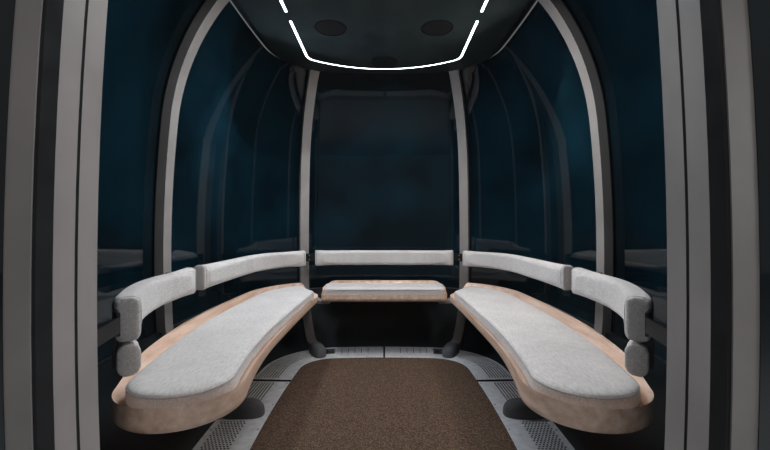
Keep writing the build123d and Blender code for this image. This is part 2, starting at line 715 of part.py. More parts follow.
# Backrest bar with its brackets to the posts and jambs
BRACKET_HALF = 22
PAD_PLAN_INSET = RAIL_OUTER + RAIL_T + PAD_T / 2 + SEAT_GAP
BAR_MIDDLE_Z = RAIL_LOW_Z + RAIL_HEIGHT / 2
END_PAD_ANGLE = -37.5
END_PAD_TURN = 2.5
END_PAD_Z = 580
END_PAD_TALL = 88
END_PAD_WIDE = 56
END_PAD_R = 24
with BuildPart() as backrest_bar:
    bar_inset = RAIL_OUTER + RAIL_T / 2
    carry(-BAR_END, mirrored_angle(-BAR_END), bar_inset, BAR_MIDDLE_Z, RAIL_T, RAIL_HEIGHT, 1)
    for right_angle in (SIDE_POST, POST_BACK_ANGLE):
        for angle in (right_angle, mirrored_angle(right_angle)):
            post_face = section_inset(BAR_MIDDLE_Z, POST_INNER) + 2 * SEAT_GAP
            with BuildSketch(radial_plane(angle)) as profile:
                with Locations((-(RAIL_OUTER + 1), BAR_MIDDLE_Z)):
                    Rectangle(RAIL_OUTER + 1 - post_face, RAIL_HEIGHT - 20, align=(Align.MIN, Align.CENTER))
            extrude(profile.sketch, amount=BRACKET_HALF, both=True)
    end_x, end_y = plan_point(0.01 - BAR_END, bar_inset, BAR_PLAN)
    jamb_y = -HALF_DEPTH + section_inset(BAR_MIDDLE_Z, PORTAL_DEPTH) + 2 * SEAT_GAP
    for _, sign in SIDES:
        with BuildSketch(Plane.XY.offset(FLOOR_Z + RAIL_LOW_Z + 10)) as strut:
            foot_x = DOORWAY_HALF + JAMB_WIDTH / 2
            with BuildLine():
                Polyline(
                    (sign * (foot_x - RAIL_T), jamb_y),
                    (sign * (foot_x + RAIL_T), jamb_y),
                    (sign * (end_x + RAIL_T / 2), end_y + RAIL_T),
                    (sign * (end_x - RAIL_T / 2), end_y),
                    close=True,
                )
            make_face()
        extrude(strut.sketch, amount=RAIL_HEIGHT - 20)
        angle = END_PAD_ANGLE if sign > 0 else mirrored_angle(END_PAD_ANGLE)
        with BuildSketch(radial_plane(angle, BAR_PLAN)) as profile:
            with Locations((-RAIL_OUTER - RAIL_T / 2, RAIL_LOW_Z + 5)):
                Rectangle(RAIL_T, RAIL_LOW_Z - END_PAD_Z + 25, align=(Align.CENTER, Align.MAX))
        extrude(profile.sketch, amount=BRACKET_HALF - 4, both=True)
save(backrest_bar, "backrest_bar")

# Backrest pads: name, plan angles of the start and the end on the right or centre
GAP_SIDE = side_angle(PAD_GAP_SIDE_Y)
PAD_SIDE_GAP = degrees(PAD_GAP / 2 / PLAN[0][2])
PAD_BACK_GAP = degrees(PAD_GAP / 2 / (CORNER_R - PAD_PLAN_INSET))
PAD_FRONT = -40
PAD_EDGE_R = 18
PADS = [
    ("pad_back", POST_BACK_ANGLE + PAD_BACK_GAP, mirrored_angle(POST_BACK_ANGLE + PAD_BACK_GAP)),
]
for side, sign in SIDES:
    corner = (GAP_SIDE + PAD_SIDE_GAP, POST_BACK_ANGLE - PAD_BACK_GAP)
    front = (PAD_FRONT, GAP_SIDE - PAD_SIDE_GAP)
    for place, (start, end) in (("corner", corner), ("front", front)):
        if sign < 0:
            start, end = mirrored_angle(end), mirrored_angle(start)
        PADS.append((f"pad_{place}_{side}", start, end))
for name, start, end in PADS:
    with BuildPart() as pad:
        pad_z = (PAD_LOW_Z + PAD_HIGH_Z) / 2
        carry(start, end, PAD_PLAN_INSET, pad_z, PAD_T, PAD_HIGH_Z - PAD_LOW_Z, PAD_EDGE_R)
    save(pad, name)

with BuildPart() as end_pads:
    for angle in (END_PAD_ANGLE, mirrored_angle(END_PAD_ANGLE)):
        inset = RAIL_OUTER + RAIL_T + SEAT_GAP + END_PAD_WIDE / 2
        start, end = angle - END_PAD_TURN, angle + END_PAD_TURN
        carry(start, end, inset, END_PAD_Z, END_PAD_WIDE, END_PAD_TALL, END_PAD_R)
save(end_pads, "end_pads")

# Door leaves: a frame that follows the section, its pane, its edge seal and its hangers
RAIL_COVER_HALF = LEAF_OPEN_X + LEAF_WIDTH + 4
COVER_LOW, COVER_HIGH = section_angle(LEAF_HIGH_Z + 20), SHOULDER_HIGH
COVER_OUT, COVER_WALL = 65, 5
LIP = section_angle(LEAF_HIGH_Z + 37)
SLOT_OUT, SLOT_IN = 38, 18
PLATE_OUT, PLATE_IN = 31, 25
ROLLER_R, ROLLER_OUT = 16, 54
HANGER_PITCH = 400
HANGER_HALF = 45
WINDOW_LOW_Z, WINDOW_HIGH_Z = LEAF_LOW_Z + LEAF_FOOT, LEAF_HIGH_Z - LEAF_RAIL
LEAF_IN, LEAF_OUT = -LEAF_GAP, -LEAF_GAP - LEAF_T
LEAF_LOW, LEAF_HIGH = section_angle(LEAF_LOW_Z), section_angle(LEAF_HIGH_Z)
WINDOW_LOW, WINDOW_HIGH = section_angle(WINDOW_LOW_Z), section_angle(WINDOW_HIGH_Z)
for side, sign in SIDES:
    leaf_x = sign * (LEAF_OPEN_X + LEAF_WIDTH / 2)
    window_half = LEAF_WIDTH / 2 - LEAF_STILE
    with BuildPart() as leaf_frame:
        straight_band(LEAF_LOW, LEAF_HIGH, LEAF_OUT, LEAF_IN, LEAF_WIDTH / 2, leaf_x)
        cut_out, cut_in = LEAF_OUT - 1, LEAF_IN + 1
        straight_band(WINDOW_LOW, WINDOW_HIGH, cut_out, cut_in, window_half, leaf_x, Mode.SUBTRACT)
    save(leaf_frame, f"door_frame_{side}")
    with BuildPart() as leaf_pane:
        pane_out = LEAF_OUT + (LEAF_T - GLASS_T) / 2
        pane_low, pane_high = section_angle(WINDOW_LOW_Z + 1), section_angle(WINDOW_HIGH_Z - 1)
        pane_half = window_half - SEAT_GAP
        straight_band(pane_low, pane_high, pane_out, pane_out + GLASS_T, pane_half, leaf_x)
    save(leaf_pane, f"door_pane_{side}")
    with BuildPart() as leaf_seal:
        seal_x = sign * (LEAF_OPEN_X - SEAL_T / 2)
        straight_band(LEAF_LOW, LEAF_HIGH, LEAF_OUT + 3, LEAF_IN - 3, SEAL_T / 2, seal_x)
    save(leaf_seal, f"door_seal_{side}")
    with BuildPart() as leaf_hanger:
        reach = SHOULDER_R + PLATE_OUT
        roller_angle = LIP + degrees(asin((ROLLER_R + SEAT_GAP) / reach))
        a = radians(roller_angle)
        inset, height = section_point(roller_angle, -PLATE_OUT)
        for step in (-HANGER_PITCH / 2, HANGER_PITCH / 2):
            x = leaf_x + step
            straight_band(LEAF_HIGH, roller_angle + 0.4, -PLATE_OUT, -PLATE_IN, HANGER_HALF, x)
            hub = Plane((x, inset - HALF_DEPTH, height + FLOOR_Z), z_dir=(0, -cos(a), sin(a)))
            with BuildSketch(hub) as disc:
                Circle(ROLLER_R)
            extrude(disc.sketch, amount=ROLLER_OUT - PLATE_OUT)
    save(leaf_hanger, f"door_hanger_{side}")

# Rail cover over the doorway: a channel with a slot below for the hangers
with BuildPart() as door_rail:
    straight_band(COVER_LOW, COVER_HIGH, -COVER_OUT, -SEAT_GAP, RAIL_COVER_HALF)
    inner_half = RAIL_COVER_HALF - COVER_WALL
    hollow_out, hollow_in = COVER_WALL - COVER_OUT, -COVER_WALL
    hollow_high = COVER_HIGH - degrees(COVER_WALL / SHOULDER_R)
    straight_band(LIP, hollow_high, hollow_out, hollow_in, inner_half, 0, Mode.SUBTRACT)
    straight_band(COVER_LOW - 1, LIP + 0.1, -SLOT_OUT, -SLOT_IN, inner_half, 0, Mode.SUBTRACT)
save(door_rail, "door_rail")

# Roof frame of welded beams, and the rubber dampers on it
BEAM_W, BEAM_H = 80, 70
FRAME_X, FRAME_Y, DAMPER_AT = 330, 520, 230
FRAME_LOW_Z = ROOF_TOP_Z + SEAT_GAP
FRAME_TOP_Z = FRAME_LOW_Z + BEAM_H
DAMPER_R, DAMPER_H = 48, 70
FOOT_HALF, FOOT_T = 300, 30
PLATE_LOW_Z = FRAME_TOP_Z + DAMPER_H
with BuildPart() as roof_frame:
    for x in (-FRAME_X, FRAME_X):
        block((x - BEAM_W / 2, -FRAME_Y, FRAME_LOW_Z), (x + BEAM_W / 2, FRAME_Y, FRAME_TOP_Z))
    for y in (-FRAME_Y + BEAM_W / 2, -DAMPER_AT, DAMPER_AT, FRAME_Y - BEAM_W / 2):
        block((-FRAME_X, y - BEAM_W / 2, FRAME_LOW_Z), (FRAME_X, y + BEAM_W / 2, FRAME_TOP_Z))
    fillet(roof_frame.edges().filter_by(Axis.Z), 6)
save(roof_frame, "roof_frame")

with BuildPart() as roof_dampers:
    with BuildSketch(Plane.XY.offset(FLOOR_Z + FRAME_TOP_Z)) as pads:
        with GridLocations(2 * DAMPER_AT, 2 * DAMPER_AT, 2, 2):
            Circle(DAMPER_R)
    extrude(pads.sketch, amount=DAMPER_H)
save(roof_dampers, "roof_dampers")

# Hanger arm: foot plate with gussets, a bowed box arm and the pivot eye
ARM_LOW = FLOOR_Z + PLATE_LOW_Z + FOOT_T
ARM_BEND_R = 260
ARM_BOW_START = 1000
EYE_R = 80
GUSSET = 170
with BuildPart() as hanger_arm:
    block((-FOOT_HALF, -FOOT_HALF, PLATE_LOW_Z), (FOOT_HALF, FOOT_HALF, PLATE_LOW_Z + FOOT_T))
    fillet(hanger_arm.edges().filter_by(Axis.Z), 60)
    with BuildLine(Plane.YZ) as route:
        FilletPolyline(
            (0, ARM_LOW - 1),
            (0, ARM_LOW + 330),
            (ARM_BULGE_Y, ARM_LOW + ARM_BOW_START),
            (ARM_BULGE_Y, -460),
            (PIVOT_Y, -170),
            (PIVOT_Y, 0),
            radius=ARM_BEND_R,
        )
    with BuildSketch(Plane((0, 0, ARM_LOW - 1))) as tube:
        RectangleRounded(ARM_WIDTH, ARM_DEPTH, 24)
    sweep(tube.sketch, path=route.wires()[0])
    for turn in (Plane.XZ, Plane.YZ):
        with BuildSketch(turn) as web:
            with BuildLine():
                Polyline(
                    (-GUSSET - 60, ARM_LOW - 1), (GUSSET + 60, ARM_LOW - 1), (0, ARM_LOW + 320), close=True
                )
            make_face()
        extrude(web.sketch, amount=10, both=True)
    with BuildSketch(Plane.XZ.offset(-PIVOT_Y)) as eye:
        Circle(EYE_R)
    extrude(eye.sketch, amount=ARM_DEPTH / 2, both=True)
    with BuildSketch(Plane.XZ.offset(-PIVOT_Y)) as bore:
        Circle(PIVOT_R + SEAT_GAP)
    extrude(bore.sketch, amount=ARM_DEPTH, both=True, mode=Mode.SUBTRACT)
save(hanger_arm, "hanger_arm")

# Grip body with the fixed jaw, the ears for the opening jaw and the hanger pivot pin
JAW_WALL = 24
BODY_IN, BODY_OUT = 46, PIVOT_Y - ARM_DEPTH / 2 - 15
BODY_LOW, BODY_HIGH = -50, 60
HINGE_Y, HINGE_Z, HINGE_R = 20, 105, 15
LUG_R = 30
LUG_IN, LUG_OUT = 60, 82
JAW_HALF = 50
CAP_GAP, CAP_T, CAP_R = 6, 14, 52
AXLE_X, AXLE_Z, AXLE_R = 190, 150, 12
WHEEL_R, WHEEL_IN, WHEEL_OUT = 62, 58, 98
CHEEK_IN, CHEEK_OUT = 106, 122


def along_x(points, low, high):
    """Adds a plate cut to an outline of (y, z) points, between two x."""
    with BuildSketch(Plane.YZ.offset(low)) as plate:
        with BuildLine():
            Polyline(*points, close=True)
        make_face()
    extrude(plate.sketch, amount=high - low)


with BuildPart() as grip_body:
    with BuildSketch(Plane.YZ) as jaw:
        with BuildLine():
            near = CenterArc((0, 0), ROPE_R, -35, 119)
            far = CenterArc((0, 0), ROPE_R + JAW_WALL, -35, 119)
            Line(near @ 0, far @ 0)
            Line(near @ 1, far @ 1)
        make_face()
    extrude(jaw.sketch, amount=JAW_LENGTH / 2, both=True)
    body_points = (
        (BODY_IN, BODY_LOW + 20),
        (BODY_IN + 25, BODY_LOW),
        (BODY_OUT, BODY_LOW),
        (BODY_OUT, BODY_HIGH - 15),
        (BODY_OUT - 30, BODY_HIGH),
        (BODY_IN, BODY_HIGH),
    )
    along_x(body_points, -JAW_LENGTH / 2, JAW_LENGTH / 2)
    lug_points = ((BODY_IN, BODY_HIGH - 10), (112, BODY_HIGH - 10), (44, 125), (-4, 86))
    for low, high in ((-LUG_OUT, -LUG_IN), (LUG_IN, LUG_OUT)):
        along_x(lug_points, low, high)
        with BuildSketch(Plane.YZ.offset(low)) as lug:
            with Locations((HINGE_Y, HINGE_Z)):
                Circle(LUG_R)
        extrude(lug.sketch, amount=high - low)
    with BuildSketch(Plane.YZ) as hole:
        with Locations((HINGE_Y, HINGE_Z)):
            Circle(HINGE_R + SEAT_GAP)
    extrude(hole.sketch, amount=LUG_OUT + 1, both=True, mode=Mode.SUBTRACT)
    for sign in (-1, 1):
        with BuildSketch(Plane.XZ.offset(-CHEEK_IN)) as cheek:
            with BuildLine():
                Polyline(
                    (sign * 95, BODY_HIGH - 20),
                    (sign * 150, BODY_HIGH - 20),
                    (sign * (AXLE_X + 26), AXLE_Z),
                    (sign * (AXLE_X - 26), AXLE_Z + 10),
                    close=True,
                )
            make_face()
            with Locations((sign * AXLE_X, AXLE_Z)):
                Circle(28)
        extrude(cheek.sketch, amount=CHEEK_IN - CHEEK_OUT)
        with BuildSketch(Plane.XZ.offset(-CHEEK_IN)) as axle:
            with Locations((sign * AXLE_X, AXLE_Z)):
                Circle(AXLE_R)
        extrude(axle.sketch, amount=CHEEK_IN - WHEEL_IN + 6)
    with BuildSketch(Plane.XZ.offset(-BODY_OUT + 5)) as pin:
        Circle(PIVOT_R)
    pin_reach = PIVOT_Y + ARM_DEPTH / 2 + CAP_GAP
    extrude(pin.sketch, amount=BODY_OUT - 5 - pin_reach - CAP_T)
    with BuildSketch(Plane.XZ.offset(-pin_reach)) as cap:
        Circle(CAP_R)
    extrude(cap.sketch, amount=-CAP_T)
save(grip_body, "grip_body")

with BuildPart() as jaw_pin:
    with BuildSketch(Plane.YZ) as bar:
        with Locations((HINGE_Y, HINGE_Z)):
            Circle(HINGE_R)
    extrude(bar.sketch, amount=LUG_OUT + 12, both=True)
save(jaw_pin, "jaw_pin")

# Opening jaw with its lever and coupling roller
LEVER_END_Y, LEVER_END_Z, LEVER_ROLLER_R = 196, 146, 26
with BuildPart() as grip_jaw:
    with BuildSketch(Plane.YZ) as jaw:
        with BuildLine():
            near = CenterArc((0, 0), ROPE_R, 96, 119)
            far = CenterArc((0, 0), ROPE_R + JAW_WALL, 96, 119)
            Line(near @ 0, far @ 0)
            Line(near @ 1, far @ 1)
        make_face()
    extrude(jaw.sketch, amount=JAW_LENGTH / 2, both=True)
    neck = ((-12, 42), (-46, 0), (-54, 70), (-4, 132), (36, 132), (38, 84), (-2, 76))
    lever = ((20, 135), (LEVER_END_Y, 162), (LEVER_END_Y + 14, 130), (30, 88))
    for points in (neck, lever):
        along_x(points, -JAW_HALF, JAW_HALF)
    with BuildSketch(Plane.YZ) as ends:
        with Locations((HINGE_Y, HINGE_Z)):
            Circle(LUG_R)
        with Locations((LEVER_END_Y, LEVER_END_Z)):
            Circle(LEVER_ROLLER_R)
    extrude(ends.sketch, amount=JAW_HALF, both=True)
    with BuildSketch(Plane.YZ) as hole:
        with Locations((HINGE_Y, HINGE_Z)):
            Circle(HINGE_R + SEAT_GAP)
    extrude(hole.sketch, amount=JAW_HALF + 1, both=True, mode=Mode.SUBTRACT)
save(grip_jaw, "grip_jaw")

# Running wheels of the grip
for name, sign in (("rear", -1), ("front", 1)):
    with BuildPart() as wheel:
        with BuildSketch(Plane.XZ.offset(-WHEEL_IN)) as disc:
            with Locations((sign * AXLE_X, AXLE_Z)):
                Circle(WHEEL_R)
                Circle(AXLE_R + SEAT_GAP, mode=Mode.SUBTRACT)
        extrude(disc.sketch, amount=WHEEL_IN - WHEEL_OUT)
    save(wheel, f"grip_wheel_{name}")
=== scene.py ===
"""The finish of a cable car cabin: upholstery, birch, tinted glass, floor plates and fittings.

Everything is in metres, in the frame's own axes: +X along the rope, +Y away from the doorway.
"""

import json

import bmesh
import bpy
import numpy as np
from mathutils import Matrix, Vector
from mathutils.bvhtree import BVHTree


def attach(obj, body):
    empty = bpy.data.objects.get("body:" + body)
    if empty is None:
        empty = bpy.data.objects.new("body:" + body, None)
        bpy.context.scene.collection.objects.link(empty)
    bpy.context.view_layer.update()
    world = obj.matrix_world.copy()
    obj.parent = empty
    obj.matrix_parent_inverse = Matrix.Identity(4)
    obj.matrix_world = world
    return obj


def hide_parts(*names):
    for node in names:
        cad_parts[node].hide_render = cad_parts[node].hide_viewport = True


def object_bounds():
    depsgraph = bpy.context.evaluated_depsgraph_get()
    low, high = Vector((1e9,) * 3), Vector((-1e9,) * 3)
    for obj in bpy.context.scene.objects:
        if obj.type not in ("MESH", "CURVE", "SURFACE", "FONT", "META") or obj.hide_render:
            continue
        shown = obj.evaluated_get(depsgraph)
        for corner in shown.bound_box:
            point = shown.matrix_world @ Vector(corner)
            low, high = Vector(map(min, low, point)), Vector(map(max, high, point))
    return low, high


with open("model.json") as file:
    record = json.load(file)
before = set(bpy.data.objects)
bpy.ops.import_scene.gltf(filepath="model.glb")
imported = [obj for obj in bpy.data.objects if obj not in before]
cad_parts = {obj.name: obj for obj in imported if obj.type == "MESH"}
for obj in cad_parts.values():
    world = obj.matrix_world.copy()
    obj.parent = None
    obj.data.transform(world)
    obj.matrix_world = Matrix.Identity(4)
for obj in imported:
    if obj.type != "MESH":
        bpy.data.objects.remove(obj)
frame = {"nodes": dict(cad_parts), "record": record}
cad_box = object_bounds()

# Places of the cabin, as in the frame
FLOOR_Z = -4.45
HALF_WIDTH, HALF_DEPTH, CORNER_R = 1.13, 1.30, 0.78
SIDE_BOW, END_BOW = 0.015, 0.015
SIDES = (("left", -1), ("right", 1))
CAMERA = (0.006, -2.0, FLOOR_Z + 0.95)
PLATE_TOP, CEILING_LOW = 0.008, 2.095
UP = np.array([0.0, 0.0, 1.0])


def section_rows():
    """Upright section of the skin, bottom to top: tangent arcs as (centre inset, centre height,
    radius, low and high angle of the normal)."""
    rows = [(6.5, 0.8, 6.5, -3.0, 6.0)]
    for radius, low, high in ((0.6, -76, -3.0), (1.2, 6, 38), (0.4, 38, 90)):
        near, joint = (rows[0], high) if high <= -3 else (rows[-1], low)
        grown, a = radius - near[2], np.radians(joint)
        row = (near[0] + grown * np.cos(a), near[1] - grown * np.sin(a), radius, low, high)
        rows = [row] + rows if high <= -3 else rows + [row]
    return rows


SECTION = section_rows()


def section_point(angle, depth):
    """(inset, height) at a depth under the skin where its normal has that angle: the arc's
    centre, and from it the radius less the depth along the normal."""
    for centre_in, centre_up, radius, low, high in SECTION:
        if low - 1e-9 <= angle <= high + 1e-9:
            a, reach = np.radians(angle), radius - depth
            return centre_in - reach * np.cos(a), centre_up + reach * np.sin(a)
    raise ValueError("angle is off the section")


def section_angle(height):
    """Angle of the skin's normal at a height above the floor."""
    for _, centre_up, radius, low, high in SECTION:
        rise = (height - centre_up) / radius
        if np.sin(np.radians(low)) - 1e-9 <= rise <= np.sin(np.radians(high)) + 1e-9:
            return np.degrees(np.arcsin(rise))
    raise ValueError("height is off the section")


def plan_rows():
    """The plan's arcs, counter-clockwise: centre x, y, radius, start and end angle."""
    reach_x, reach_y = HALF_WIDTH - CORNER_R, HALF_DEPTH - CORNER_R
    x, y = reach_x - SIDE_BOW, reach_y - END_BOW
    side_x = (reach_x**2 - x**2 - y**2) / (2 * SIDE_BOW)
    end_y = (reach_y**2 - x**2 - y**2) / (2 * END_BOW)
    side, end = np.degrees(np.arctan2(y, x - side_x)), np.degrees(np.arctan2(y - end_y, x))
    return [
        (side_x, 0, HALF_WIDTH - side_x, -side, side),
        (x, y, CORNER_R, side, end),
        (0, end_y, HALF_DEPTH - end_y, end, 180 - end),
        (-x, y, CORNER_R, 180 - end, 180 - side),
        (-side_x, 0, HALF_WIDTH - side_x, 180 - side, 180 + side),
        (-x, -y, CORNER_R, 180 + side, 180 + end),
        (0, -end_y, HALF_DEPTH - end_y, 180 + end, 360 - end),
        (x, -y, CORNER_R, 360 - end, 360 - side),
    ]


PLAN = plan_rows()
SIDE_POST = np.degrees(np.arcsin(-0.09 / PLAN[0][2]))
POSTS = (SIDE_POST, 180 - SIDE_POST, 64, 116)


def plan_point(angle, inset, height=0.0):
    """Point at an inset from the widest line, where the plan's normal has that angle, at a
    height above the cabin's floor."""
    for x, y, radius, low, high in PLAN:
        for turn in (-360, 0, 360):
            if low + turn - 1e-9 <= angle <= high + turn + 1e-9:
                a = np.radians(angle)
                reach = radius - inset
                return np.array([x + reach * np.cos(a), y + reach * np.sin(a), FLOOR_Z + height])
    raise ValueError("angle is off the plan")


def outward(angle):
    """Level unit vector along the plan's normal."""
    return np.array([np.cos(np.radians(angle)), np.sin(np.radians(angle)), 0.0])


def level_side(out):
    """Level unit vector square to a level one, to its left."""
    return np.array([-out[1], out[0], 0.0])


def signed_power(value, exponent):
    """A power that keeps the sign."""
    return np.sign(value) * np.abs(value) ** exponent


def linear(code):
    """sRGB hex to linear RGBA: a channel up to 0.04045 is divided by 12.92, above it
    0.055 is added, the sum divided by 1.055 and raised to 2.4."""
    c = np.array([int(code[i : i + 2], 16) for i in (1, 3, 5)]) / 255
    c = np.where(c <= 0.04045, c / 12.92, ((c + 0.055) / 1.055) ** 2.4)
    return (*c.tolist(), 1)


def add(tree, kind, values=(), links=(), **settings):
    """Adds a shader node, sets its properties and unlinked sockets, and joins its links."""
    node = tree.nodes.new("ShaderNode" + kind)
    for key, value in settings.items():
        setattr(node, key, value)
    for key, value in dict(values).items():
        node.inputs[key].default_value = value
    for key, socket in dict(links).items():
        tree.links.new(socket, node.inputs[key])
    return node


def new_material(name, **sockets):
    """A material with one Principled shader; the sockets' constants are set on it."""
    material = bpy.data.materials.new(name)
    material.use_nodes = True
    tree = material.node_tree
    shader = tree.nodes["Principled BSDF"]
    for key, value in sockets.items():
        shader.inputs[key.replace("_", " ")].default_value = value
    place = add(tree, "TexCoord").outputs["Object"]
    return material, tree, shader, place


def ramp(tree, factor, stops):
    """A colour ramp through (position, hex) stops."""
    node = add(tree, "ValToRGB", links={0: factor})
    band = node.color_ramp
    while len(band.elements) < len(stops):
        band.elements.new(0.5)
    for element, (position, code) in zip(band.elements, stops):
        element.position = position
        element.color = linear(code)
    return node.outputs["Color"]


def roughened(tree, shader, factor, low, high):
    """Roughness that runs between two values with a factor."""
    spread = add(tree, "MapRange", {3: low, 4: high}, {0: factor})
    tree.links.new(spread.outputs[0], shader.inputs["Roughness"])


def bumped(tree, shader, height, depth_mm, strength=1.0):
    """Relief of a real depth, given as a height from 0 to 1."""
    bump = add(tree, "Bump", {"Distance": depth_mm / 1000, "Strength": strength}, {"Height": height})
    tree.links.new(bump.outputs[0], shader.inputs["Normal"])


def noise(tree, place, size_mm, detail=3.0, stretch=(1, 1, 1)):
    """Noise whose blobs are size_mm across, drawn out along the axes by a stretch."""
    scale = tuple(1 / s for s in stretch)
    space = add(tree, "Mapping", {"Scale": scale}, {"Vector": place})
    grain = add(tree, "TexNoise", {"Scale": 1000 / size_mm, "Detail": detail}, {"Vector": space.outputs[0]})
    return grain.outputs[0]


def sprayed_enamel(name, dark, light, rough, peel_mm=2.5):
    """Satin enamel sprayed on metal: a faint orange peel and slow drifts of tone."""
    material, tree, shader, place = new_material(name, IOR=1.5)
    drift = noise(tree, place, 180, 4)
    tree.links.new(ramp(tree, drift, ((0.3, dark), (0.7, light))), shader.inputs["Base Color"])
    roughened(tree, shader, noise(tree, place, 60, 5), rough - 0.06, rough + 0.08)
    bumped(tree, shader, noise(tree, place, peel_mm, 2), 0.05, 0.5)
    return material


def anodised_aluminium():
    """Anodised aluminium sheet, brushed along Y: pale, soft sheen, fine lines and scuffs. Below the
    sheet's top face, in its slots and joints, the colour turns nearly black: painted shade."""
    material, tree, shader, place = new_material("anodised_aluminium", Metallic=0.3)
    lines = noise(tree, place, 1.2, 2, (1, 60, 1))
    scuffs = noise(tree, place, 35, 6)
    metal = ramp(tree, scuffs, ((0.3, "#c6c8cb"), (0.65, "#dfe0e2")))
    # Painted shade: from just under the top face down, the slot walls and joint edges are coloured near
    # black.
    height = add(tree, "SeparateXYZ", links={"Vector": place}).outputs["Z"]
    skin = FLOOR_Z + PLATE_TOP
    top = add(tree, "MapRange", {1: skin - 0.0016, 2: skin - 0.0008}, {0: height})
    mixed = add(tree, "MixRGB", {"Color1": linear("#0b0b0c")}, {"Fac": top.outputs[0], "Color2": metal})
    tree.links.new(mixed.outputs["Color"], shader.inputs["Base Color"])
    roughened(tree, shader, lines, 0.32, 0.52)
    bumped(tree, shader, lines, 0.03, 0.4)
    return material


def needle_felt():
    """Needle-punched felt mat: brown fibres with pale and dark flecks about 3.5 mm across."""
    material, tree, shader, place = new_material("needle_felt", Roughness=0.95)
    flecks = add(tree, "TexVoronoi", {"Scale": 1000 / 3.5}, {"Vector": place})
    tone = add(tree, "SeparateColor", links={0: flecks.outputs["Color"]}).outputs[0]
    stops = ((0.0, "#33271f"), (0.4, "#453529"), (0.75, "#574437"), (0.97, "#7c6756"))
    tree.links.new(ramp(tree, tone, stops), shader.inputs["Base Color"])
    bumped(tree, shader, noise(tree, place, 3, 4), 1.2, 0.8)
    return material


def tinted_glass():
    """Body-tinted safety glass: nearly black, teal where light falls on it, mirror smooth."""
    sockets = {"Roughness": 0.03, "IOR": 1.52, "Specular_IOR_Level": 0.3, "Alpha": 0.9}
    material, tree, shader, place = new_material("tinted_glass", **sockets)
    haze = noise(tree, place, 420, 3)
    tree.links.new(ramp(tree, haze, ((0.3, "#030d12"), (0.75, "#08212b"))), shader.inputs["Base Color"])
    return material


def border_glass():
    """Glass with a fired black ceramic backing: opaque, teal-black, mirror smooth."""
    sockets = {"Roughness": 0.06, "IOR": 1.52, "Coat_Weight": 0.3, "Coat_Roughness": 0.02}
    material, tree, shader, place = new_material("border_glass", **sockets)
    haze = noise(tree, place, 300, 3)
    tree.links.new(ramp(tree, haze, ((0.3, "#0b1216"), (0.75, "#121d22"))), shader.inputs["Base Color"])
    return material


def birch_veneer():
    """Moulded birch ply under clear lacquer: pale, fine grain drawn out along Y."""
    sockets = {"IOR": 1.5, "Coat_Weight": 0.25, "Coat_Roughness": 0.25}
    material, tree, shader, place = new_material("birch_veneer", **sockets)
    figure = noise(tree, place, 26, 5, (1, 12, 1))
    pores = noise(tree, place, 2.2, 4, (1, 22, 1))
    both = add(tree, "Math", {1: 0.35}, {0: pores, 2: figure}, operation="MULTIPLY_ADD").outputs[0]
    stops = ((0.42, "#bf9a84"), (0.58, "#d2b09a"), (0.74, "#dfc1ad"), (0.9, "#ead2c1"))
    tree.links.new(ramp(tree, both, stops), shader.inputs["Base Color"])
    roughened(tree, shader, pores, 0.34, 0.52)
    bumped(tree, shader, pores, 0.12, 0.5)
    return material


def woven_cloth(name, dark, light, thread_mm=2.0):
    """Flat-woven upholstery cloth of mixed grey yarns: a fine check of threads, soft sheen.
    The real thread is about 0.8 mm; it is drawn coarser so that it shows."""
    sockets = {"Sheen_Weight": 0.35, "Sheen_Roughness": 0.5, "Roughness": 0.9}
    material, tree, shader, place = new_material(name, **sockets)
    heights = []
    for axis in ("X", "Y"):
        wave = add(
            tree,
            "TexWave",
            {"Scale": 1000 / thread_mm / 20 * 3.1416, "Distortion": 0.6, "Detail Scale": 2.0},
            {"Vector": place},
            bands_direction=axis,
        )
        heights.append(wave.outputs[1])
    weave = add(tree, "Math", links={0: heights[0], 1: heights[1]}, operation="MULTIPLY").outputs[0]
    yarn = noise(tree, place, 5, 3, (1, 5, 1))
    wear = noise(tree, place, 170, 3)
    tone = add(tree, "Math", {1: 0.5}, {0: wear, 2: yarn}, operation="MULTIPLY_ADD").outputs[0]
    mixed = add(tree, "Math", {1: 0.12}, {0: weave, 2: tone}, operation="MULTIPLY_ADD").outputs[0]
    tree.links.new(ramp(tree, mixed, ((0.5, dark), (1.15, light))), shader.inputs["Base Color"])
    bumped(tree, shader, weave, 0.25, 0.4)
    return material


def moulded_rubber():
    """Extruded EPDM rubber: black, matt, with a faint bloom."""
    material, tree, shader, place = new_material("moulded_rubber", IOR=1.5)
    bloom = noise(tree, place, 50, 4)
    tree.links.new(ramp(tree, bloom, ((0.3, "#0c0d0e"), (0.8, "#1b1d1f"))), shader.inputs["Base Color"])
    roughened(tree, shader, bloom, 0.55, 0.75)
    return material


def speaker_mesh():
    """Perforated steel over the speakers: black, with round holes on a 4 mm grid painted as darker dots,
    the painted shade of the hollow behind.
    """
    material, tree, shader, place = new_material("speaker_mesh", Roughness=0.5)
    holes = add(tree, "TexVoronoi", {"Scale": 1000 / 4.0, "Randomness": 0.0}, {"Vector": place})
    # Painted shade: the holes are darker dots in the colour, and the same mask gives them their bump.
    depth = add(tree, "MapRange", {1: 0.25, 2: 0.35}, {0: holes.outputs["Distance"]}).outputs[0]
    tree.links.new(ramp(tree, depth, ((0.0, "#020202"), (1.0, "#1c1d1f"))), shader.inputs["Base Color"])
    bumped(tree, shader, depth, 0.6, 0.8)
    return material


def opal_diffuser():
    """Opal acrylic over a strip of cool white diodes."""
    cool = linear("#eaf6ff")
    material, _, shader, _ = new_material("opal_diffuser", Emission_Strength=7.0)
    shader.inputs["Emission Color"].default_value = cool
    shader.inputs["Base Color"].default_value = cool
    return material


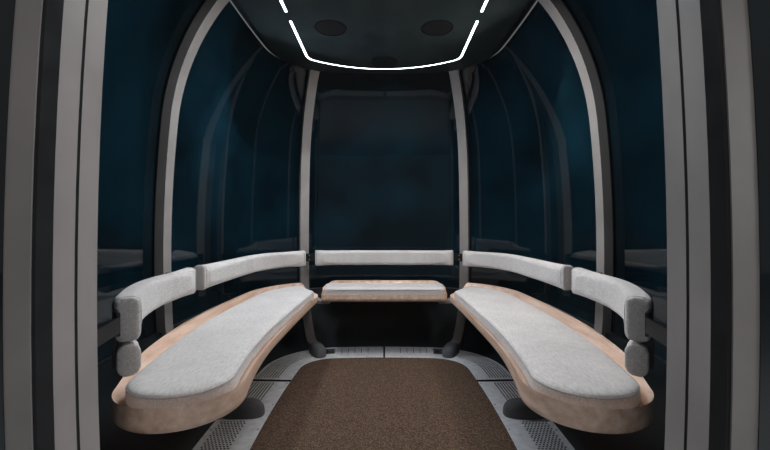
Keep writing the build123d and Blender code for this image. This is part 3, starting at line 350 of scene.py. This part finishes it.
def mottled_coat(name, dark, light, rough=0.42, metallic=0.9):
    """Galvanised steel, a coated casting or moulded plastic: mottled grey, dull shine."""
    material, tree, shader, place = new_material(name, Metallic=metallic)
    spangle = noise(tree, place, 14, 4)
    tree.links.new(ramp(tree, spangle, ((0.3, dark), (0.7, light))), shader.inputs["Base Color"])
    roughened(tree, shader, spangle, rough - 0.1, rough + 0.14)
    bumped(tree, shader, noise(tree, place, 3, 3), 0.1, 0.4)
    return material


FRAME_PAINT = sprayed_enamel("satin_frame_enamel", "#827e7b", "#908b88", 0.42)
SHELL_PAINT = sprayed_enamel("dark_shell_enamel", "#1d2326", "#272d30", 0.3)
SHOE_PAINT = sprayed_enamel("moulded_shoe_paint", "#4d4e50", "#5b5c5e", 0.45)
# Painted shade: the deck under the ring plates is near black for the shade seen down their slots and under
# them.
DECK_PAINTED_SHADE = sprayed_enamel("black_deck_painted_shade", "#0a0a0b", "#101112", 0.8)
CEILING_PAINT = sprayed_enamel("ceiling_laminate", "#20282a", "#2b3335", 0.5)
BAR_PAINT = sprayed_enamel("black_powder_coat", "#0f1011", "#17181a", 0.55, 1.5)
ARM_PAINT = sprayed_enamel("grey_arm_enamel", "#7d8083", "#8a8d90", 0.4)
FLOOR_METAL = anodised_aluminium()
FELT = needle_felt()
GLASS = tinted_glass()
BORDER_GLASS = border_glass()
BIRCH = birch_veneer()
CLOTH = woven_cloth("grey_woven_cloth", "#a39f9d", "#c6c2bf")
PIPING = woven_cloth("piping_cloth", "#8a8685", "#aca8a6", 1.2)
RUBBER = moulded_rubber()
OPAL = opal_diffuser()
SPEAKER_MESH = speaker_mesh()
ZINC = mottled_coat("galvanised_steel", "#8a8d90", "#a9acae")
CASTING = mottled_coat("coated_casting", "#3b3e41", "#4d5053", 0.5, 0.4)
WHEEL_PLASTIC = mottled_coat("wear_plastic", "#1a1b1c", "#262728", 0.5, 0.0)

NODE_MATERIALS = {"floor_deck": DECK_PAINTED_SHADE, "speaker_grilles": SPEAKER_MESH}
SLOT_MATERIALS = {
    "frame_paint": FRAME_PAINT,
    "shell_paint": SHELL_PAINT,
    "ceiling_paint": CEILING_PAINT,
    "floor_metal": FLOOR_METAL,
    "mat": FELT,
    "tinted_glass": GLASS,
    "bench_wood": BIRCH,
    "pad_fabric": CLOTH,
    "rubber": RUBBER,
    "bar_metal": BAR_PAINT,
    "light": OPAL,
    "speaker": BAR_PAINT,
    "steel": ZINC,
    "arm_paint": ARM_PAINT,
    "cast_grip": CASTING,
    "wheel_plastic": WHEEL_PLASTIC,
}


def dress_frame():
    """Every carried-over node gets its own material, or else that of its slot in the record."""
    for row in frame["record"]["subparts"]:
        node = frame["nodes"][row["node"]]
        node.data.materials.clear()
        material = NODE_MATERIALS.get(row["node"], SLOT_MATERIALS[row["material_slot"]])
        node.data.materials.append(material)


def ring_faces(rows, sides, closed=False):
    """Quads between successive rings of points, and from the last ring to the first if closed."""
    faces = []
    for i in range(rows if closed else rows - 1):
        near, far = i * sides, (i + 1) % rows * sides
        for k in range(sides):
            m = (k + 1) % sides
            faces.append((near + k, near + m, far + m, far + k))
    return faces


def tube(path, radius, ref=(0, 0, 1), sides=8, closed=False):
    """Points and faces of a round tube: at each point of the path a ring of the radius, in
    the plane square to the path, measured from a reference direction. Open ends are capped."""
    path = np.asarray(path, float)
    if closed:
        along = np.roll(path, -1, 0) - np.roll(path, 1, 0)
    else:
        along = np.gradient(path, axis=0)
    along /= np.linalg.norm(along, axis=1, keepdims=True)
    across = np.cross(along, ref)
    across /= np.linalg.norm(across, axis=1, keepdims=True)
    up = np.cross(across, along)
    turn = np.arange(sides) * 2 * np.pi / sides
    ring = across[:, None] * np.cos(turn)[None, :, None] + up[:, None] * np.sin(turn)[None, :, None]
    points = (path[:, None] + radius * ring).reshape(-1, 3)
    rows = len(path)
    faces = ring_faces(rows, sides, closed)
    if not closed:
        faces.append(tuple(range(sides)))
        faces.append(tuple(reversed(range((rows - 1) * sides, rows * sides))))
    return points, faces


def lathe(profile, origin, axis, sides=16):
    """Points and faces of a turned shape: each (radius, height) row of the profile is a ring
    round the axis at that height; a row of radius 0 is one point."""
    axis = np.asarray(axis, float) / np.linalg.norm(axis)
    u = np.cross(axis, (0.0, 0.0, 1.0) if abs(axis[2]) < 0.9 else (1.0, 0.0, 0.0))
    u /= np.linalg.norm(u)
    v = np.cross(axis, u)
    turn = np.arange(sides) * 2 * np.pi / sides
    points, rows = [], []
    for radius, height in profile:
        middle = np.asarray(origin, float) + height * axis
        count = sides if radius > 0 else 1
        rows.append(range(len(points), len(points) + count))
        points += [middle + radius * (np.cos(t) * u + np.sin(t) * v) for t in turn[:count]]
    faces = []
    for near, far in zip(rows, rows[1:]):
        for k in range(sides):
            m = (k + 1) % sides
            face = [near[k % len(near)], near[m % len(near)], far[m % len(far)], far[k % len(far)]]
            faces.append(tuple(dict.fromkeys(face)))
    return np.array(points), faces


def make_piece(name, parts, material, body="cabin", smooth=True):
    """One mesh object of many (points, faces) parts, in its material, riding on a body."""
    points, faces, count = [], [], 0
    for part_points, part_faces in parts:
        points.append(part_points)
        faces += [tuple(index + count for index in face) for face in part_faces]
        count += len(part_points)
    mesh = bpy.data.meshes.new(name)
    mesh.from_pydata(np.concatenate(points).tolist(), [], faces)
    shape = bmesh.new()
    shape.from_mesh(mesh)
    bmesh.ops.recalc_face_normals(shape, faces=shape.faces)
    shape.to_mesh(mesh)
    shape.free()
    if smooth:
        mesh.shade_smooth()
        mesh.set_sharp_from_angle(angle=np.radians(35))
    mesh.materials.append(material)
    piece = bpy.data.objects.new(name, mesh)
    bpy.context.scene.collection.objects.link(piece)
    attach(piece, body)
    return piece


def screw(place, axis, radius=0.0055):
    """A button-head screw with its driver recess, seated on a surface."""
    r, h = radius, radius * 0.55
    profile = [(r, -0.0004), (r, h * 0.35), (r * 0.86, h * 0.75), (r * 0.55, h), (r * 0.45, h)]
    profile += [(r * 0.42, h * 0.45), (0, h * 0.42)]
    return lathe(profile, place, axis, 12)


def bolt(place, axis, radius=0.012):
    """A hexagon bolt head with a chamfered top on a round washer."""
    r = radius
    washer = [(0, 0), (r * 1.5, 0), (r * 1.55, r * 0.08), (r * 1.5, r * 0.2), (0, r * 0.2)]
    head = [(r, r * 0.2), (r, r * 0.85), (r * 0.84, r * 0.98), (0, r * 0.98)]
    return [lathe(washer, place, axis, 20), lathe(head, place, axis, 6)]


def upholster(node, voxel, pressure, cap, like=None):
    """A padded copy of a plain solid: its mesh is merged and remeshed, blown up a little as
    cloth with no point moved further than the cap, subdivided once, and replaces the solid.
    A piece like another one across the cabin takes that one's mesh, mirrored."""
    piece = bpy.data.objects.new("upholstered_" + node, merged_mesh(frame["nodes"][node].data))
    bpy.context.scene.collection.objects.link(piece)
    if like:
        piece.data = like.data.copy()
        points = points_of(piece.data) * (-1, 1, 1)
        piece.data.vertices.foreach_set("co", points.ravel())
        piece.data.flip_normals()
        piece.data.update()
    else:
        remesh = piece.modifiers.new("remesh", "REMESH")
        remesh.mode = "VOXEL"
        remesh.voxel_size = voxel
        apply_modifiers(piece)
        blow_up(piece, pressure, cap)
        piece.modifiers.new("rounding", "SUBSURF").levels = 1
        apply_modifiers(piece)
    piece.data.materials.clear()
    piece.data.materials.append(CLOTH)
    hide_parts(node)
    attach(piece, "cabin")
    return piece


def merged_mesh(source):
    """A copy of a carried-over mesh with its loose triangles joined into one skin."""
    mesh = source.copy()
    shape = bmesh.new()
    shape.from_mesh(mesh)
    bmesh.ops.remove_doubles(shape, verts=shape.verts, dist=1e-5)
    bmesh.ops.recalc_face_normals(shape, faces=shape.faces)
    shape.to_mesh(mesh)
    shape.free()
    return mesh


def base_outline(node, step=0.012):
    """The closed outline of a solid's flat underside: its border edges in order, as points
    spaced evenly by a step."""
    shape = bmesh.new()
    shape.from_mesh(merged_mesh(frame["nodes"][node].data))
    low = min(v.co.z for v in shape.verts)
    under = {f for f in shape.faces if all(v.co.z < low + 1e-4 for v in f.verts)}
    follow = {}
    for edge in shape.edges:
        if len(set(edge.link_faces) & under) == 1:
            for vert in edge.verts:
                follow.setdefault(vert.index, []).append(edge.other_vert(vert))
    shape.verts.ensure_lookup_table()
    start = next(iter(follow))
    ring, last, vert = [], None, shape.verts[start]
    while not ring or vert.index != start:
        ring.append(vert.co.to_tuple())
        last, vert = vert.index, next(v for v in follow[vert.index] if v.index != last)
    shape.free()
    ring = np.array(ring + ring[:1])
    run = np.concatenate([[0], np.cumsum(np.linalg.norm(np.diff(ring, axis=0), axis=1))])
    marks = np.linspace(0, run[-1], int(run[-1] / step), endpoint=False)
    return np.stack([np.interp(marks, run, ring[:, k]) for k in range(3)], 1)


def piping(piece, path, radius, ref, sink=0.4):
    """A sewn cord along a closed path, laid on the surface of a padded piece and sunk into it
    by a share of its radius."""
    mesh = piece.data
    mesh.calc_loop_triangles()
    skin = BVHTree.FromPolygons([v.co for v in mesh.vertices], [tuple(p.vertices) for p in mesh.polygons])
    laid = []
    for point in path:
        place, normal, _, _ = skin.find_nearest(Vector(point))
        laid.append(np.array(place) + np.array(normal) * radius * (1 - 2 * sink))
    laid = np.array(laid)
    for _ in range(3):
        laid = (np.roll(laid, 1, 0) + 2 * laid + np.roll(laid, -1, 0)) / 4
    return tube(laid, radius, ref, 6, closed=True)


def cushion_seams(piece, node, name):
    """Piping round the top and the foot of a bench cushion, set in from its outline."""
    ring = base_outline(node)
    along = np.roll(ring, -1, 0) - np.roll(ring, 1, 0)
    along /= np.linalg.norm(along, axis=1, keepdims=True)
    inward = np.cross((0, 0, 1), along)
    area = np.sum(ring[:, 0] * np.roll(ring[:, 1], -1) - np.roll(ring[:, 0], -1) * ring[:, 1])
    inward *= np.sign(area)
    parts = []
    for inset, height, radius in ((0.001, 0.0505, 0.0024), (-0.004, 0.013, 0.0018)):
        path = ring + inward * inset + (0, 0, height)
        parts.append(piping(piece, path, radius, (0, 0, 1)))
    make_piece(name, parts, PIPING)


# Middle of the backrest pads above the floor and inset from the bar's plan, and how far out
# and up the outline of a seam starts from there
PAD_MIDDLE, PAD_INSET = 0.691, 0.2303
PAD_REACH, PAD_RISE = 0.0372, 0.07076


def pad_seams(piece, ends, name):
    """Piping round a backrest pad near both ends, each in the upright plane of the plan's
    normal there: a rounded rectangle laid on the pad. It starts a little outside the pad, at
    powers of 0.6 of the sine and cosine."""
    turn = np.linspace(0, 2 * np.pi, 40, endpoint=False)
    reach = PAD_REACH * signed_power(np.cos(turn), 0.6)[:, None]
    rise = PAD_RISE * signed_power(np.sin(turn), 0.6)[:, None]
    parts = []
    for angle in ends:
        out = outward(angle)
        path = bar_point(angle, PAD_INSET, PAD_MIDDLE) + reach * out + rise * UP
        parts.append(piping(piece, path, 0.002, level_side(out)))
    make_piece(name, parts, PIPING)


def apply_modifiers(piece):
    """Swaps a piece's mesh for what its modifiers make of it."""
    graph = bpy.context.evaluated_depsgraph_get()
    made = bpy.data.meshes.new_from_object(piece.evaluated_get(graph))
    piece.modifiers.clear()
    piece.data = made
    piece.data.shade_smooth()


def points_of(mesh):
    """The mesh's points as an array of rows."""
    flat = np.empty(len(mesh.vertices) * 3)
    mesh.vertices.foreach_get("co", flat)
    return flat.reshape(-1, 3)


def blow_up(piece, pressure, cap):
    """Cloth under pressure with no gravity for twenty frames; then no point lies further
    from where it started than the cap."""
    start = points_of(piece.data)
    cloth = piece.modifiers.new("cloth", "CLOTH")
    cloth.settings.quality = 4
    cloth.settings.use_pressure = True
    cloth.settings.uniform_pressure_force = pressure
    cloth.settings.effector_weights.gravity = 0
    cloth.point_cache.frame_end = 20
    scene = bpy.context.scene
    for step in range(1, 21):
        scene.frame_set(step)
    apply_modifiers(piece)
    scene.frame_set(1)
    moved = points_of(piece.data) - start
    length = np.linalg.norm(moved, axis=1, keepdims=True)
    moved *= np.minimum(1, cap / np.maximum(length, 1e-9))
    piece.data.vertices.foreach_set("co", (start + moved).ravel())
    piece.data.update()


def bar_rows():
    """The plan that the backrest bar and its pads follow: the cabin's own, but with a wider
    turn, of 1.09 m radius, from 0.45 m in front of the middle."""
    turn, radius = np.degrees(np.arcsin(-0.45 / PLAN[0][2])), 1.09
    x, y, reach = PLAN[0][:3]
    a, reach = np.radians(turn), reach - radius
    corner = (x + reach * np.cos(a), y + reach * np.sin(a))
    rows = [(*corner, radius, -60, turn), (*PLAN[0][:3], turn, PLAN[0][4]), *PLAN[1:4]]
    rows.append((*PLAN[4][:3], PLAN[4][3], 180 - turn))
    rows.append((-corner[0], corner[1], radius, 180 - turn, 240))
    return rows


BAR_PLAN = bar_rows()


def bar_point(angle, inset, height):
    """Point at an inset from the bar's plan, at a height above the cabin's floor."""
    for x, y, radius, low, high in BAR_PLAN:
        if low - 1e-9 <= angle <= high + 1e-9:
            a, reach = np.radians(angle), radius - inset
            return np.array([x + reach * np.cos(a), y + reach * np.sin(a), FLOOR_Z + height])
    raise ValueError("angle is off the bar")


def pad_ends():
    """Plan angles of the two seams on each pad. Gaps of 80 mm between the pads lie 165 mm in
    front of the middle on each side and at both back posts, and a seam lies about 16 mm in
    from its pad's end. The front pads end at 40 degrees past the side."""
    side_r, corner_r, front_r = PLAN[0][2], 0.55, 0.86
    side_gap = np.degrees(np.arcsin(-0.165 / side_r))
    side_in = np.degrees((0.04 + 0.0165) / side_r)
    back_in = np.degrees((0.04 + 0.016) / corner_r)
    corner = (side_gap + side_in, POSTS[2] - back_in)
    front = (side_gap - side_in, -40 + np.degrees(0.016 / front_r))
    ends = {}
    for side, sign in SIDES:
        for place, angles in (("corner", corner), ("front", front)):
            ends[f"{place}_{side}"] = [a if sign > 0 else 180 - a for a in angles]
    ends["back"] = (POSTS[2] + back_in, POSTS[3] - back_in)
    return ends


def make_upholstery():
    """Bench cushions and backrest pads, each left one made first and mirrored, then their
    piping. The table's columns: pieces, voxel, cap on a point's move, share that is filling (not used)."""
    cushions = ("cushion_left", "cushion_right", "cushion_centre")
    pads = ("pad_back", "pad_corner_left", "pad_corner_right", "pad_front_left", "pad_front_right")
    made = {}
    for nodes, voxel, cap, fill in (
        (cushions, 0.010, 0.006, 0.7),
        (pads, 0.009, 0.004, 0.8),
        (("end_pads",), 0.006, 0.003, 0.8),
    ):
        for node in nodes:
            like = made.get(node.replace("right", "left"))
            made[node] = upholster(node, voxel, 3.0, cap, like)
    for node in cushions:
        cushion_seams(made[node], node, f"piping_{node}")
    for place, angles in pad_ends().items():
        pad_seams(made[f"pad_{place}"], angles, f"piping_pad_{place}")


def leaf_border(sign):
    """Points and faces of a sheet with a window in it: a grid of heights along the leaf and
    places across it, on two skins, whose kept cells get both faces and a wall at each edge."""
    across = np.array([0.641, 0.66, 0.679, 0.68, 0.9, 1.152, 1.153, 1.19, 1.226])
    heights = np.array([-0.005, 0.06, 0.125, *np.linspace(0.13, 1.91, 60), 1.93, 1.96, 1.995])
    rows, columns = len(heights), len(across)
    kept = np.ones((rows - 1, columns - 1), bool)
    kept[3:-3, 3:5] = False
    points = []
    for out in (0.0484, 0.0496):
        for height in heights:
            inset, up = section_point(section_angle(height), -out)
            points += [(sign * x, inset - HALF_DEPTH, FLOOR_Z + up) for x in across]
    sheet = np.arange(len(points)).reshape(2, rows, columns)
    faces = []
    for i, k in zip(*np.nonzero(kept)):
        cell = [(i, k), (i, k + 1), (i + 1, k + 1), (i + 1, k)]
        faces += [tuple(sheet[skin][corner] for corner in cell) for skin in (0, 1)]
        beyond = ((i - 1, k), (i, k + 1), (i + 1, k), (i, k - 1))
        for a, b, (row, column) in zip(cell, cell[1:] + cell[:1], beyond):
            if not (0 <= row < rows - 1 and 0 <= column < columns - 1 and kept[row, column]):
                faces.append((sheet[0][a], sheet[0][b], sheet[1][b], sheet[1][a]))
    used = sorted({index for face in faces for index in face})
    place = {index: count for count, index in enumerate(used)}
    return np.array(points)[used], [tuple(place[index] for index in face) for face in faces]


def make_leaf_borders():
    """Dark glass bonded over each door leaf round its window, clear of the leaf's narrow inner
    edge: a sheet 0.4 mm off the outer face that follows the section, 1.2 mm thick."""
    for side, sign in SIDES:
        name = f"leaf_border_{side}"
        make_piece(name, [leaf_border(sign)], BORDER_GLASS, f"door_{side}")


def foot_shoe(angle, inset=0.43, length=0.105, width=0.05, height=0.076):
    """Moulded cover over the toe of a post's foot: half a rounded block. Its length and width
    go with powers of 0.7 of the sine and cosine of the turn, its rings and height with those
    of the rise, so that it is boxier than an ellipsoid."""
    out = outward(angle)
    middle = plan_point(angle, inset, PLATE_TOP + 0.0003)
    rise = np.linspace(0, np.pi / 2, 14)[:-1]
    turn = np.arange(40) * 2 * np.pi / 40
    along = length * signed_power(np.cos(turn), 0.7)[:, None] * out
    across = width * signed_power(np.sin(turn), 0.7)[:, None] * level_side(out)
    level = signed_power(np.cos(rise), 0.7)[:, None, None]
    lift = height * signed_power(np.sin(rise), 0.7)[:, None, None] * UP
    rings = middle + level * (along + across) + lift
    points = np.concatenate([rings.reshape(-1, 3), [middle + height * UP]])
    rows, sides, top = len(rise), len(turn), len(points) - 1
    faces = ring_faces(rows, sides)
    faces += [((rows - 1) * sides + k, (rows - 1) * sides + (k + 1) % sides, top) for k in range(sides)]
    faces.append(tuple(range(sides)))
    return points, faces


def side_angles(y):
    """Plan angles on the right and the left side at a place along the cabin."""
    angle = np.degrees(np.arcsin(y / PLAN[0][2]))
    return angle, 180 - angle


def make_floor_details():
    """Screws and drain holes of the ring plates, and the shoes on the posts' feet. A screw sits
    near the outer and the inner edge of a plate, at each of its ends; the holes are not cut but
    black discs with a shallow dish, painted shade, in rows of eight, each row half a pitch beside the last."""
    places = []
    for angle in (88.2, 91.8, 66.2, 113.8, 61.5, 118.5):
        places += [(angle, 0.332), (angle, 0.545)]
    for y in (0.395, 0.305, 0.02, -0.24):
        places += [(angle, inset) for angle in side_angles(y) for inset in (0.334, 0.548)]
    places += [(angle, 0.334) for angle in side_angles(-0.55)]
    screws = [screw(plan_point(angle, inset, PLATE_TOP), UP, 0.0045) for angle, inset in places]
    make_piece("plate_screws", screws, ZINC)
    # Painted shade: each drain hole is a black disc with a shallow dish on the plate, dark where the open
    # hole would be.
    eye = [(0.0052, 0), (0.005, 0.0004), (0.0038, 0.0004), (0.0036, 0.0002), (0, 0.0002)]
    pitch = 0.0155
    holes = []
    for row in range(24):
        for column in range(8):
            inset = 0.351 + (column + row % 2 / 2) * pitch
            for angle in side_angles(-0.165 - row * pitch):
                holes.append(lathe(eye, plan_point(angle, inset, PLATE_TOP), UP, 8))
    make_piece("drain_holes", holes, RUBBER, smooth=False)
    make_piece("foot_shoes", [foot_shoe(angle) for angle in POSTS], SHOE_PAINT)


def make_glazing_seals():
    """Black profile strips along both sides of every post, where it meets the glass."""
    angles = np.linspace(section_angle(0.43), section_angle(2.09), 60)
    strips = []
    for post in POSTS:
        side = level_side(outward(post))
        for sign in (-1, 1):
            path = []
            for angle in angles:
                inset, height = section_point(angle, 0.0112)
                path.append(plan_point(post, inset, height) + sign * 0.0385 * side)
            strips.append(tube(path, 0.0034, side, 6))
    make_piece("glazing_seals", strips, RUBBER)


def make_ceiling_details():
    """Rims round the speakers and the screws along the edge of the ceiling panel."""
    rim = [(0.0865, -0.001), (0.0865, 0.001), (0.088, 0.0024), (0.0905, 0.0024), (0.093, -0.001)]
    rims = []
    for x, y in ((-0.31, 0.24), (0.31, 0.24), (0, 0.702), (-0.31, -0.24), (0.31, -0.24), (0, -0.702)):
        rims.append(lathe(rim, (x, y, FLOOR_Z + CEILING_LOW), -UP, 48))
    make_piece("speaker_rims", rims, BAR_PAINT)
    screws = []
    for angle in (8, 30, 48, 76, 90, 104, 132, 150, 172, 188, 210, 228, 270, 312, 330, 352):
        screws.append(screw(plan_point(angle, 0.425, CEILING_LOW), -UP, 0.005))
    make_piece("ceiling_screws", screws, BAR_PAINT)


def make_roof_details():
    """A steel flange above and below each rubber damper and a thin one at its middle, a bolt
    over each damper, two at each corner of the roof frame, and weld beads where the gussets
    stand on the foot plate. The flanges' table: foot, thickness, radius."""
    heights = points_of(frame["nodes"]["roof_dampers"].data)[:, 2]
    low, high = heights.min(), heights.max()
    plate_top = high + 0.030
    rows = (
        (low, 0.006, 0.058),
        ((low + high) / 2 - 0.002, 0.004, 0.051),
        (high - 0.006, 0.006, 0.058),
    )
    flanges, bolts = [], []
    for x in (-0.23, 0.23):
        for y in (-0.23, 0.23):
            for foot, thick, radius in rows:
                disc = [(0, 0), (radius, 0), (radius, thick), (0, thick)]
                flanges.append(lathe(disc, (x, y, foot), UP, 40))
            bolts += bolt((x, y, plate_top), UP, 0.014)
    for x in (-0.33, 0.33):
        for y in (-0.48, -0.44, 0.44, 0.48):
            bolts += bolt((x + 0.018 * np.sign(y), y, low), UP, 0.009)
    make_piece("damper_flanges", flanges, ZINC, smooth=False)
    make_piece("roof_bolts", bolts, ZINC, smooth=False)
    beads = []
    for axis, arm_half in ((0, 0.055), (1, 0.065)):
        for end in (-1, 1):
            for edge in (-1, 1):
                path = np.zeros((24, 3))
                path[:, axis] = end * np.linspace(arm_half, 0.228, 24)
                path[:, 1 - axis] = edge * 0.0115
                path[:, 2] = plate_top + 0.001
                beads.append(tube(path, 0.0045))
    make_piece("foot_welds", beads, ARM_PAINT)


def make_grip_details():
    """A nut and four screws on the pivot's cap, nuts on both ends of the rollers' axles and of
    the jaw's pin."""
    cap = points_of(frame["nodes"]["grip_body"].data)[:, 1].max()
    cap_out = np.array([0.0, 1.0, 0.0])
    fittings = bolt((0, cap, 0), cap_out, 0.016)
    for turn in np.arange(4) * np.pi / 2 + np.pi / 4:
        fittings += bolt((0.036 * np.cos(turn), cap, 0.036 * np.sin(turn)), cap_out, 0.005)
    for x in (-0.19, 0.19):
        fittings += bolt((x, 0.122, 0.15), cap_out, 0.012)
        fittings += bolt((x, 0.052, 0.15), -cap_out, 0.012)
    for side in (-1, 1):
        fittings += bolt((side * 0.094, 0.02, 0.105), (side, 0, 0), 0.010)
    make_piece("grip_fittings", fittings, ZINC, "grip", smooth=False)


def make_bar_screws():
    """Two button-head screws on the backrest bar at each post, between the pads."""
    screws = []
    for post in POSTS:
        for height in (0.679, 0.711):
            screws.append(screw(plan_point(post, 0.2, height), -outward(post), 0.006))
    make_piece("bar_screws", screws, ZINC)


def area_lamp(name, place, aim, size, watts, tint="#ffffff"):
    """A rectangular soft lamp that faces a point. Heights are above the cabin's floor."""
    place, aim = Vector(place) + Vector((0, 0, FLOOR_Z)), Vector(aim) + Vector((0, 0, FLOOR_Z))
    lamp = bpy.data.lights.new(name, "AREA")
    lamp.shape = "RECTANGLE"
    lamp.size, lamp.size_y = size
    lamp.energy = watts
    lamp.color = linear(tint)[:3]
    holder = bpy.data.objects.new(name, lamp)
    holder.location = place
    holder.rotation_euler = (aim - place).to_track_quat("-Z", "Y").to_euler()
    bpy.context.scene.collection.objects.link(holder)
    return holder


def make_studio_floor(half=14.0, drop=0.35):
    """A wide grey floor a little below the hanging cabin."""
    low = cad_box[0][2] - drop
    mesh = bpy.data.meshes.new("studio_floor")
    corners = [(-half, -half, low), (half, -half, low), (half, half, low), (-half, half, low)]
    mesh.from_pydata(corners, [], [(0, 1, 2, 3)])
    floor = bpy.data.objects.new("studio_floor", mesh)
    bpy.context.scene.collection.objects.link(floor)
    material, _, shader, _ = new_material("studio_floor_paint", Roughness=0.9)
    shader.inputs["Base Color"].default_value = linear("#a3a5a6")
    mesh.materials.append(material)


def make_world():
    """A plain grey world, the same for every kind of ray."""
    world = bpy.data.worlds.new("studio")
    bpy.context.scene.world = world
    world.use_nodes = True
    back = world.node_tree.nodes["Background"]
    back.inputs["Color"].default_value = linear("#eef2f5")
    back.inputs["Strength"].default_value = 0.16


def make_lamps():
    """Soft lamps round the cabin, and three inside it that show in no pane. Columns: name,
    place, point it faces, size, watts, tint."""
    outside = (
        ("roof_fill", (0, 0, 7.5), (0, 0, 1), (5, 5), 260, "#ffffff"),
        ("left_fill", (-5.5, 1.5, 3.2), (0, 0, 0.8), (2.5, 3), 150, "#eef4ff"),
        ("right_fill", (5.5, 2.5, 3.2), (0, 0, 0.8), (2.5, 3), 150, "#ffffff"),
        ("front_fill", (1.2, -5.5, 3.2), (-0.3, 0.4, 0.7), (1.2, 1.2), 22, "#fff4ea"),
        ("side_key", (4.5, -2.3, 2.0), (-0.6, -1.2, 1.0), (0.8, 1.2), 75, "#f6f7ff"),
    )
    inside = (
        ("left_lamp", (-0.78, 0.66, 1.82), (0.3, -0.6, 0.2), (0.2, 0.2), 17, "#eef5ff"),
        ("right_lamp", (0.86, 0.34, 1.85), (-0.35, -0.35, 0.4), (0.2, 0.2), 13, "#fff6ee"),
        ("ceiling_lamp", (0, -0.1, 2.05), (0, -0.1, 0), (0.9, 1.3), 22, "#f2f8ff"),
    )
    for row in outside:
        area_lamp(*row)
    for row in inside:
        lamp = area_lamp(*row)
        lamp.visible_camera = False
        lamp.visible_glossy = False


def make_camera():
    """Eye height just outside the open doorway, level, with a wide 18 mm lens."""
    camera = bpy.data.cameras.new("camera")
    camera.lens = 18
    camera.sensor_width = 36
    camera.clip_start = 0.02
    holder = bpy.data.objects.new("camera", camera)
    holder.location = CAMERA
    holder.rotation_euler = (np.pi / 2, 0, 0)
    bpy.context.scene.collection.objects.link(holder)
    bpy.context.scene.camera = holder
    bpy.context.scene.view_settings.view_transform = "Standard"


make_camera()
make_studio_floor()
make_world()
make_lamps()
dress_frame()
make_upholstery()
make_leaf_borders()
make_floor_details()
make_glazing_seals()
make_ceiling_details()
make_bar_screws()
make_roof_details()
make_grip_details()
